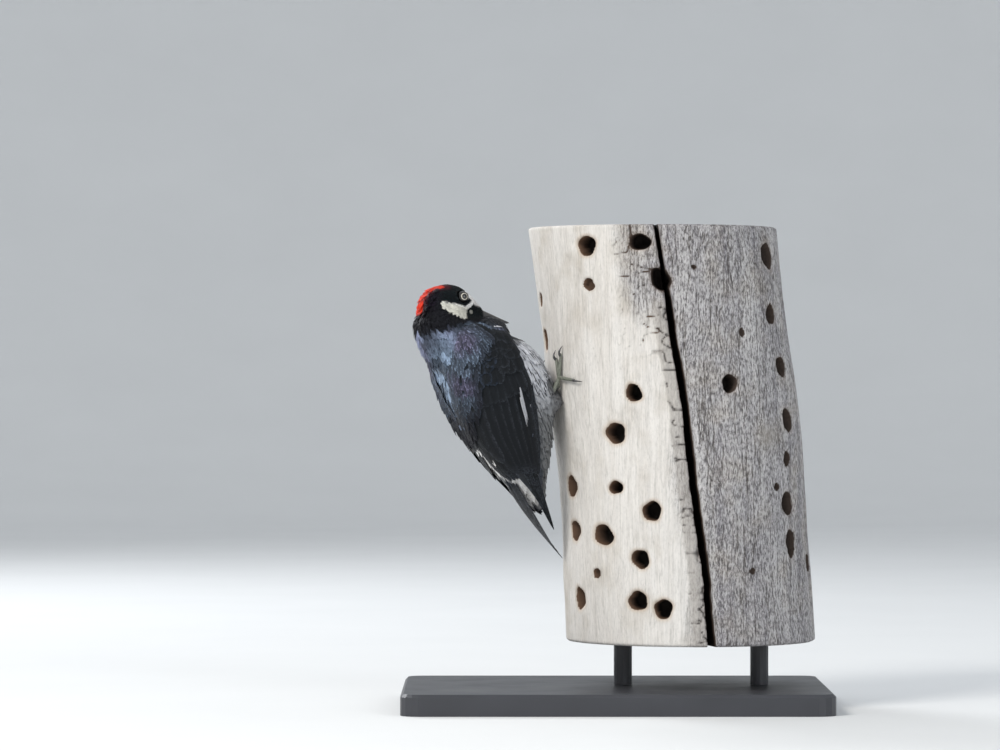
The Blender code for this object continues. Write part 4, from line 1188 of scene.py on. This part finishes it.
def tube(name, rings, line, radii, flat=1.0):
    """A ball whose rings are moved on to a line of places, to make a tube with rounded ends."""
    ways = unit(np.gradient(line, axis=0))
    across = unit(np.cross(ways, UP + np.array([0.01, 0.02, 0])))
    steps = np.arange(len(line))

    def shape(share, turn):
        at = share * (len(line) - 1)
        low = np.minimum(at.astype(int), len(line) - 2)
        part = (at - low)[:, None]
        lines = (line, across, np.cross(across, ways))
        centre, a, b = (values[low] * (1 - part) + values[low + 1] * part for values in lines)
        radius = np.interp(at, steps, radii) * np.sqrt(np.clip(1 - np.abs(2 * share - 1) ** 18, 0, 1))
        ring = a * np.cos(turn)[:, None] + b * np.sin(turn)[:, None] * flat
        return centre + ring * radius[:, None] * MM
    return shaped_ball(name, 16, rings, shape)


def foot_piece(side_name, side):
    parts = []
    shares = np.linspace(-0.12, 1.0, LINE_STEPS)
    low = TOE_RADIUS + 0.6
    lifts = np.interp(shares, (-0.12, 0.15, 0.4, 0.7, 1.0), (2.7, 2.7, low * 1.3, low * 1.05, low * 0.95))
    slim = np.interp(shares, (-0.12, 0.2, 0.6, 1.0), (1.15, 1.2, 1.12, 0.95))
    for _, heading, length in TOES:
        beads = 0.94 + 0.10 * np.abs(np.sin(shares * length * pi / 1.5))
        parts.append(tube("toe", 60, toe_line(side, heading, length, shares, lifts), slim * beads))
    ball = toe_line(side, 0, 1, 0.0, 2.4)
    ankle = trunk_point(FOOT_TURN[side] - side * 0.05, FOOT_HEIGHT[side] - TARSUS_DROP, TARSUS_OUT)
    line = ankle + (ball - ankle) * np.linspace(-0.05, 1.05, LINE_STEPS)[:, None]
    beads = 0.95 + 0.08 * np.abs(np.sin(np.linspace(0, 9 * pi, LINE_STEPS)))
    parts.append(tube("tarsus", 60, line, 1.45 * beads))
    select_only(*parts)
    bpy.ops.object.join()
    foot = parts[0]
    foot.name = f"scaled_foot_{side_name}"
    evened(foot, FOOT_VOXEL)
    finish_piece(foot, FOOT_SKIN, "scaly_skin", f"foot_{side_name}")


def claw_piece(side_name, side, toe, heading, length):
    share = np.linspace(0, 1, 25)
    lift = TOE_RADIUS * 0.9 * (1 - share) + 1.9 * np.sin(pi * share ** 0.8) + 0.55
    line = toe_line(side, heading, length, 1 + (CLAW_LENGTH / length) * share - 0.12, lift)
    claw = tube(f"hooked_claw_{side_name}_{toe}", 32, line, 0.95 * (1 - 0.86 * share), 1.15)
    finish_piece(claw, HORN, "horn", f"claw_{side_name}_{toe}")


for side_name, side in SIDES:
    foot_piece(side_name, side)
    for toe in TOES:
        claw_piece(side_name, side, *toe)

# %% [markdown]
# The perch is a length of dead trunk whose bark has gone. Woodpeckers store acorns in it, so it is
# drilled all over with neat pits, and a deep split runs down it. It could be cut from a cylinder with
# hundreds of booleans, but a fine grid wrapped round the trunk is safer: each corner of the grid is
# first drawn on to the rim of any pit near it, so that rims stay crisp, and is then sunk by the depth
# of what it lies in. The columns of the grid follow the split.

# %% Pits, split and bark, as places on the trunk
# degrees round from the front, height, width and depth from top to bottom, all in millimetres
ACORN_HOLES = (
    (-36, 302, 14, 13), (-9, 304, 14, 11), (60, 296, 15, 18), (-78, 242, 14, 14), (-20, 207, 11, 11),
    (-31, 181, 15, 13), (26, 213, 11, 12), (57, 258, 11, 14), (61, 224, 12, 14), (61, 189, 12, 16),
    (56, 135, 13, 15), (58, 109, 12, 18), (-33, 146, 11, 8), (-16, 131, 12, 13), (-64, 117, 13, 14),
    (-42, 115, 16, 14), (-23, 100, 12, 12), (-63, 73, 13, 14), (-26, 73, 14, 12), (-14, 68, 12, 13),
    (-64, 146, 13, 15), (100, 170, 13, 14), (140, 120, 12, 13), (165, 230, 13, 14), (-150, 190, 13, 13),
    (-120, 90, 12, 14), (120, 270, 12, 13), (-125, 285, 13, 13),
)
HOLE_DEPTH = 12.0
# worn and half-healed pits, which are shallow: the same four numbers and a depth
OLD_PITS = (
    (-1.6, 280, 13, 15, 14), (-37, 277, 9, 8, 4), (-79, 268, 8, 9, 5), (57, 164, 8, 10, 5),
    (30, 92, 4, 4, 2), (14, 288, 3, 3, 2), (48, 146, 5, 5, 3), (35, 246, 4, 6, 2), (-48, 90, 7, 6, 4),
    (150, 75, 11, 12, 8), (-160, 130, 11, 11, 8), (-100, 215, 9, 10, 5), (80, 95, 10, 12, 6),
    (82, 240, 9, 11, 5), (-175, 265, 10, 11, 7),
)
SPLIT_TURN = (radians(-1.0), radians(7.5))  # at the top and at the foot
SPLIT_WIDTH, SPLIT_DEPTH = 5.5, 22.0
SPLIT_SIDES = ((-1, 31), (1, 47))  # each lip's side and the seed of its line
KNOT_TURN, KNOT_HEIGHT, KNOT_SIZE = 43.6, 179.0, 9.5
PERCH_ROWS, LIP_COLUMNS, SIDE_COLUMNS = 285, 7, 154
BACK_GAP = 0.004  # radians left at the back, for the last column of faces
# corners this near a pit, as a share of its half width, are drawn towards the ring named last
RIM_BANDS, RIM_PULL, PIT_REACH = ((0.91, 1.12, 1.0), (0.70, 0.91, 0.84)), 0.22, 1.6
END_ROUND, END_DROP, MOST_OUT = 1.8, 1.6, 1.1  # millimetres


print(len(ACORN_HOLES), "fresh pits and", len(OLD_PITS), "worn ones")


def hum(height, size, seed):
    """A smooth random line: one value from 0 to 1 for each height."""
    line = np.full((height.size, 3), 0.5)
    line[:, 0] = height.ravel() / size
    return cloud(line, 1.0, seed).reshape(height.shape)


def split_half(height, seed):
    """Half the width of the split in millimetres: it closes and opens down the trunk."""
    lines = ((0.5, 0.024, 0), (0.3, 0.006, 5), (0.16, 0.0022, 9))
    open_share = 0.38 + sum(share * hum(height, size, seed + more) for share, size, more in lines)
    return SPLIT_WIDTH / 2 * open_share * (0.55 + 0.45 * ease(0.30, 0.24, height)) * 1.1


def trunk_grid():
    """The turn and the height of each corner, and how far each lies across the split."""
    height = np.linspace(PERCH_LOW, PERCH_HIGH, PERCH_ROWS)[:, None]
    lip = np.linspace(0.07, 1, LIP_COLUMNS)
    far = np.linspace(0, 1, SIDE_COLUMNS + 1)[1:]
    far = far * 0.62 + 0.38 * far ** 2.6  # close together in front, wider apart behind
    sides = []
    for sign, seed in SPLIT_SIDES:
        edge = split_half(height, seed) * MM / PERCH_RADIUS
        ray = np.concatenate([lip * edge, edge + (pi - BACK_GAP - edge) * far], axis=1)
        sides.append(sign * ray[:, ::sign])
    across = np.concatenate(sides, axis=1)
    middle = np.interp(height, (PERCH_LOW, PERCH_HIGH), SPLIT_TURN[::-1])
    wander = (hum(height, 0.03, 3) - 0.5) * 0.03 + (hum(height, 0.007, 4) - 0.5) * 0.012
    return middle + across + wander * np.exp(-(across / 0.5) ** 2), height + 0 * across, across


def wrapped(turn):
    return (turn + pi) % (2 * pi) - pi


def from_place(turn, height, degrees, level):
    """How far across and up a corner lies from a place on the trunk, in millimetres."""
    return wrapped(turn - radians(degrees)) * PERCH_RADIUS / MM, height / MM - level


def draw_to_rims(turn, height):
    """Moves corners on to the rims of pits. It adds the depth there and the nearness to a rim."""
    depth, rim = np.zeros(turn.shape), np.zeros(turn.shape)
    pits = [(*hole, HOLE_DEPTH) for hole in ACORN_HOLES] + list(OLD_PITS)
    for number, (degrees, level, wide, tall, deep) in enumerate(pits):
        across, up = from_place(turn, height, degrees, level)
        across, up = across / (wide / 2), up / (tall / 2)
        way = np.arctan2(up, across)
        uneven = 1 + 0.055 * np.sin(2 * way + number) + 0.05 * np.sin(3 * way + 2.3 * number)
        near = np.hypot(across, up) / (uneven + 0.03 * np.sin(5 * way + number))
        drawn = near.copy()
        for low, high, ring in RIM_BANDS:
            band = (near > low) & (near < high)
            drawn[band] = ring + RIM_PULL * (near[band] - ring)
        move = np.where((near > 1e-6) & (near < PIT_REACH), 1 - drawn / np.maximum(near, 1e-6), 0)
        turn = turn + wrapped(radians(degrees) - turn) * move
        height = height + (level * MM - height) * move
        pit = deep * ease(1.01, 0.80, drawn) * (0.93 + 0.07 * ease(0.7, 0.0, drawn))
        depth = np.maximum(depth, pit + 0.35 * ease(1.22, 1.0, drawn) * (drawn >= 0.84))
        rim = np.maximum(rim, ease(1.45, 1.0, drawn) * min(1.0, deep / 9))
    return turn, height, depth, rim


# %% [markdown]
# What lies on each corner adds up: pits, the split with its worn lip, dents and grain, the rag of
# inner bark, a healed knot and cracks across the grain. The same values that shape the wood are kept
# for its material, so that colour and form agree.

# %% The relief of the wood
def perch_surface():
    """The turn, height and distance out of each corner, and the values that its material reads."""
    turn, height, across = trunk_grid()
    turn, height, depth, rim = draw_to_rims(turn, height)

    def patches(size, seed):
        flat = np.stack([turn * PERCH_RADIUS, height, 0 * turn], axis=-1).reshape(-1, 3)
        return cloud(flat, (*size, 1), seed).reshape(turn.shape) - 0.5

    lips = [split_half(height, seed) for _, seed in SPLIT_SIDES]
    edge = np.where(across < 0, *lips)
    away = np.abs(across) * PERCH_RADIUS / MM
    split = SPLIT_DEPTH * np.clip(1 - away / edge, 0, 1) ** 0.62 + 0.5 * ease(edge + 2.2, edge, away)
    relief = patches((0.011, 0.022), 61) * 0.9 + patches((0.0026, 0.045), 62) * 0.55
    # a ragged band of grey inner bark clings to the left lip of the split
    across = np.degrees(across)
    band = ease(-8.4, -6.8, across + 2.5 * (hum(height, 0.012, 8) - 0.5)) * ease(0.5, -1.2, across)
    band = band * ease(0.272, 0.262, height)
    notch = ease(0.055, 0.0, np.abs(patches((0.012, 0.0040), 63)))
    knot_away = np.hypot(*from_place(turn, height, KNOT_TURN, KNOT_HEIGHT))
    knot = np.exp(-(knot_away / KNOT_SIZE) ** 4) * (1.1 + 0.35 * np.sin(knot_away * 2.0))
    # sideways cracks cross the grain where the dead wood shrank
    crack = ease(0.035, 0.0, np.abs(patches((0.012, 0.0065), 64))) * ease(0.228, 0.24, height)
    crack = crack * ease(-26, -16, across) * ease(-2, -8, across)
    total = depth + split + crack * 0.9
    out = relief * (depth < 0.5) + band * (0.7 - 1.6 * notch) + knot - total
    # both ends are rounded over, and nothing stands out past the solid
    ends = np.minimum(height - PERCH_LOW, PERCH_HIGH - height) / MM
    out = out - END_DROP * (1 - np.sqrt(np.clip(1 - (1 - ends / END_ROUND).clip(0, 1) ** 2, 0, 1)))
    from_front = np.degrees(wrapped(turn))
    tilt = 12 * ease(0.23, 0.27, height) + 10 * patches((0.010, 0.05), 65)
    return turn, height, np.minimum(out, MOST_OUT), {
        "cavity": np.clip(total / 7, 0, 1),
        "rim": rim * (1 - np.clip(total / 4, 0, 1) * 0.3),
        "bark": band,
        # the right and back count as weathered: real weathering there, and painted shade away from the light
        "weather": ease(-9, 5, from_front + tilt) * ease(200, 120, np.abs(from_front)) * 0.93 + 0.07,
        "notch": np.clip(band * notch + crack, 0, 1),
        "knot": np.exp(-(knot_away / KNOT_SIZE) ** 2),
    }

# %% [markdown]
# The grid closes on itself round the trunk. Each sawn end is filled by smaller and smaller rings and
# a fan of triangles in the middle.

# %% The perch as one mesh
END_RINGS = (0.93, 0.8, 0.62, 0.42, 0.2)
STRIP = 0.24  # of the map's height, for the two sawn ends
END_SPOTS = ((0.13, 0.11), (0.38, 0.11))


def perch_piece():
    turn, height, out, values = perch_surface()
    rows, columns = turn.shape
    side = trunk_point(turn, height, out * MM).reshape(-1, 3)
    places, rings, faces = [side], [np.ones(len(side))], []

    def join(low, high, flip=False):
        """Faces between two rings of corners. The second may be one corner, the middle of a fan."""
        for i in range(columns):
            far = (i + 1) % columns
            face = [low[i], low[far], *([high[far], high[i]] if isinstance(high, list) else [high])]
            faces.append(face[::-1] if flip else face)

    numbers = np.arange(len(side)).reshape(rows, columns).tolist()
    for low, high in zip(numbers, numbers[1:]):
        join(low, high)
    start = len(side)
    for last, flip in ((numbers[-1], False), (numbers[0], True)):
        rim = side[last]
        middle = trunk_middle(rim[:, 2].mean())
        for share in END_RINGS:
            here = list(range(start, start + columns))
            join(last, here, flip)
            places.append(middle + (rim - middle) * share)
            rings.append(np.full(columns, share))
            last, start = here, start + columns
        places.append(places[-1].mean(axis=0)[None])
        rings.append(np.zeros(1))
        join(last, start, flip)
        start += 1
    places = np.concatenate(places)
    piece = mesh_piece("drilled_trunk", places, faces)
    ends = len(places) - len(side)
    for name, value in values.items():
        give(piece, name, np.concatenate([value.ravel(), np.zeros(ends)]))
    give(piece, "end", np.repeat([0.0, 1.0], (len(side), ends)))
    give(piece, "ring", np.concatenate(rings))
    # the sides of the trunk fill most of the map, and its two ends take a strip below
    u, v = np.meshgrid(np.arange(columns) / columns, STRIP + 0.75 * np.arange(rows) / (rows - 1))
    flat = (places[len(side):, :2] - trunk_middle(0.18)[:2]) * 1.1
    flat = flat + np.repeat(END_SPOTS, ends // 2, axis=0)
    give_map(piece, "OFBake", np.concatenate([np.stack([u.ravel(), v.ravel()], axis=1), flat]))
    layer = piece.data.uv_layers["OFBake"].data
    for face in range(columns - 1, columns * (rows - 1), columns):  # the last column meets the first
        for corner in (1, 2):
            layer[face * 4 + corner].uv.x = 1.0
    return piece

# %% [markdown]
# Dead wood that has lost its bark bleaches. Sun turns it cream and silver, rain opens fine checks
# along the grain, and the pits are brown inside, where the wood is fresh and acorns stain it. Here
# the side away from the light is also painted darker, and pits and the split are painted darker the
# deeper they go: both are painted shade. The fibres are drawn about 1 mm wide, coarser than real
# ones, so that they show.

# %% The finish of the trunk
def dead_wood_finish():
    finish, node, spot = new_finish("weathered_dead_wood")
    values = ("cavity", "rim", "bark", "weather", "end", "ring", "knot", "notch")
    has = {key: node("Attribute", attribute_name=key, out="Fac") for key in values}
    tall = node("Mapping", Vector=spot, Scale=(1.0, 1.0, 0.05))
    short = node("Mapping", Vector=spot, Scale=(1.0, 1.0, 0.33))
    fibre = node("TexNoise", Vector=tall, Scale=900.0, Detail=5.0, Roughness=0.6)
    streak = node("TexNoise", Vector=tall, Scale=120.0, Detail=4.0)
    check = node("TexNoise", Vector=tall, Scale=210.0, Detail=3.0, Distortion=0.4)
    blotch = node("TexNoise", Vector=spot, Scale=45.0, Detail=4.0)
    pore = node("TexNoise", Vector=short, Scale=950.0, Detail=4.0, Roughness=0.75)
    # cream towards the light and silver away from it, partly weathering and partly painted light and
    # shade, and buff in blotches
    grain = node("ValToRGB", streak, stops=((0.28, 0.0), (0.72, 1.0)))
    sunny, silver = node("Mix", streak, "#e6e3df", "#cec8c0"), node("Mix", grain, "#b9b6b5", "#7d7a7e")
    colour = node("Mix", has["weather"], sunny, silver)
    patch = node("ValToRGB", blotch, stops=((0.50, 0.0), (0.72, 1.0)))
    # narrow bands of the noise make long thin checks, more of them on the weathered side
    line = node("Math ABSOLUTE", node("Math SUBTRACT", check, 0.5))
    line = node("ValToRGB", line, stops=((0.0, 1.0), (0.02, 0.0)))
    line = node("Math MULTIPLY", line, node("Math MULTIPLY_ADD", has["weather"], 0.8, 0.12))
    # open pores and torn fibres pepper the weathered side, and only a few show on the smooth side
    dark = node("ValToRGB", pore, stops=((0.40, 1.0), (0.51, 0.0)))
    dark = node("Math MULTIPLY", dark, node("Math MULTIPLY_ADD", has["weather"], 0.74, 0.06))
    pale = node("ValToRGB", pore, stops=((0.52, 0.0), (0.62, 1.0)))
    pale = node("Math MULTIPLY", pale, node("Math MULTIPLY", has["weather"], 0.5))
    # the pits are brown, paler and fresher inside where their rim isn't weathered, which is the lit
    # side; the deeper a pit or the split, the nearer black it is painted, as shade
    fresh = node("Math MULTIPLY_ADD", has["weather"], -0.8, 1.0)
    stain = node("Math MULTIPLY", node("Math MULTIPLY", has["rim"], 0.45), fresh)
    torn = node("Math MULTIPLY_ADD", pore, 0.22, has["cavity"])
    inside = node("ValToRGB", torn, stops=((0.16, 0.0), (0.21, 1.0)))
    brown = node("Mix", has["cavity"], node("Mix", fresh, "#38322f", "#6a5140"), "#150e09")
    # a sawn end shows its growth rings, about 2.5 mm apart here, and greys as it weathers
    ring = node("Math MULTIPLY", node("Math MULTIPLY_ADD", blotch, 0.16, has["ring"]), 170.0)
    ring = node("Math MULTIPLY_ADD", node("Math SINE", ring), 0.5, 0.5)
    heart = node("ValToRGB", has["ring"], stops=((0.05, 1.0), (0.62, 0.0)))
    sawn = node("Mix", heart, "#cfc6b6", "#b39f85")
    sawn = node("Mix", node("Math MULTIPLY", ring, pore), sawn, "#8b7a64")
    # each of these layers lies over the one before, as far as its share says
    for share, layer in (
        (node("Math MULTIPLY", patch, 0.35), "#a79c8b"),
        (line, "#4b443d"), (dark, "#423e40"), (pale, "#d3d1d1"),
        (node("Math MULTIPLY", has["bark"], 0.75), node("Mix", pore, "#6f6a67", "#cbc5be")),
        (node("Math MULTIPLY", has["notch"], 0.9), "#2c2624"),
        (node("Math MULTIPLY", has["knot"], 0.6), "#8f887f"),
        (stain, "#a98a66"), (inside, brown), (has["end"], sawn),
    ):
        colour = node("Mix", share, colour, layer)
    shade = node("Math MULTIPLY_ADD", fibre, 0.55, 0.72)
    shade = node("CombineColor", shade, shade, shade)
    height = node("Math MULTIPLY_ADD", line, -2.0, fibre)
    return surface(finish, {
        "Base Color": node("Mix", 1.0, colour, shade, blend_type="MULTIPLY"),
        "Roughness": node("Math MULTIPLY_ADD", fibre, 0.2, 0.68),
        "Normal": node("Bump", Height=height, Strength=0.55, Distance=0.35 * MM),
        "Specular IOR Level": 0.25,
    })


finish_piece(perch_piece(), dead_wood_finish(), "dead_wood", "perch")

# %% [markdown]
# The stand is a flat base and two rods of steel, sprayed with dark grey satin paint. Such paint has
# an even, very fine orange-peel skin and is rubbed a little smoother where hands lift it. The solids
# already have the right shape, so they only take the finish.

# %% The finish of the stand
def satin_paint(name, colour, worn):
    finish, node, spot = new_finish(name)
    peel = node("TexNoise", Vector=spot, Scale=1400.0, Detail=2.0)
    dust = node("TexNoise", Vector=spot, Scale=30.0, Detail=5.0)
    return surface(finish, {
        "Base Color": node("Mix", dust, colour, worn),
        "Roughness": node("Math MULTIPLY_ADD", dust, 0.25, 0.3),
        "Normal": node("Bump", Height=peel, Strength=0.15, Distance=0.05 * MM),
        "IOR": 1.5,
    })


for finish, names in (
    (satin_paint("satin_painted_board", "#35363a", "#404147"), ("stand_base",)),
    (satin_paint("satin_painted_steel", "#303135", "#3a3b40"), ("stand_rod_1", "stand_rod_2")),
):
    for name in names:
        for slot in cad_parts[name].material_slots:
            slot.material = finish
    print(finish.name, "covers", names)

# %% [markdown]
# The studio is a pale floor under three soft lamps: a large one high to the left, as the sun came, a
# fill from the right, and a thin one from behind to part the dark feathers from the room. The camera
# stands far off with a long lens, as a bird photographer does, so that upright lines stay upright.

# %% Floor, lamps and camera
LAMPS = (  # place, size, power and tint
    ("key", (-1.3, -1.5, 1.7), 0.9, 38, (1.0, 0.97, 0.92)),
    ("fill", (1.6, -1.9, 0.9), 1.4, 16, (0.92, 0.96, 1.0)),
    ("rim", (-1.2, 1.6, 1.4), 1.0, 22, (0.95, 0.97, 1.0)),
)
LIT_SPOT = Vector((-0.05, -0.03, 0.2))
FRAME_WIDTH = 0.660  # metres across the picture at the bird
FRAME_MIDDLE = (-0.0759, 0.2185)
CAMERA_AWAY, SENSOR = 3.0, 36.0
scene = bpy.context.scene


def floor_piece():
    """A wide floor whose rim sweeps up like a bowl, so that no edge shows from any side."""
    floor = added("floor", bpy.ops.mesh.primitive_grid_add, x_subdivisions=120, y_subdivisions=120, size=16.0)
    places = corners_of(floor)
    away = np.hypot(places[:, 0], places[:, 1])
    places[:, 2] = 3.2 * np.clip((away - 3.6) / 3.2, 0, 1.6) ** 2
    put_corners(floor, places)
    floor.data.shade_smooth()
    # matt wall paint put on with a roller: dull and almost even, with a faint mottle
    finish, node, spot = new_finish("matt_painted_floor")
    mottle = node("TexNoise", Vector=spot, Scale=6.0, Detail=4.0)
    surface(finish, {"Base Color": node("Mix", mottle, "#e3e4e4", "#e9eaea"), "Roughness": 0.85})
    floor.data.materials.append(finish)


def placed(name, data, place, turn):
    item = bpy.data.objects.new(name, data)
    item.location, item.rotation_euler = place, turn
    scene.collection.objects.link(item)
    return item


floor_piece()
for name, place, size, power, tint in LAMPS:
    light = bpy.data.lights.new(name, "AREA")
    light.shape, light.size, light.energy, light.color = "DISK", size, power, tint
    placed(name, light, place, (LIT_SPOT - Vector(place)).to_track_quat("-Z", "Y").to_euler())
scene.world = bpy.data.worlds.new("room")
scene.world.use_nodes = True
room = scene.world.node_tree.nodes["Background"].inputs
room["Color"].default_value, room["Strength"].default_value = (0.86, 0.90, 0.95, 1.0), 0.7
scene.view_settings.view_transform = "Standard"
lens = bpy.data.cameras.new("long_lens")
lens.sensor_width, lens.lens = SENSOR, SENSOR * CAMERA_AWAY / FRAME_WIDTH
lens.clip_start, lens.clip_end = 0.05, 50.0
scene.camera = placed("camera", lens, (FRAME_MIDDLE[0], -CAMERA_AWAY, FRAME_MIDDLE[1]), (pi / 2, 0, 0))
print("lamps:", len(LAMPS), "lens:", round(lens.lens, 1), "mm")
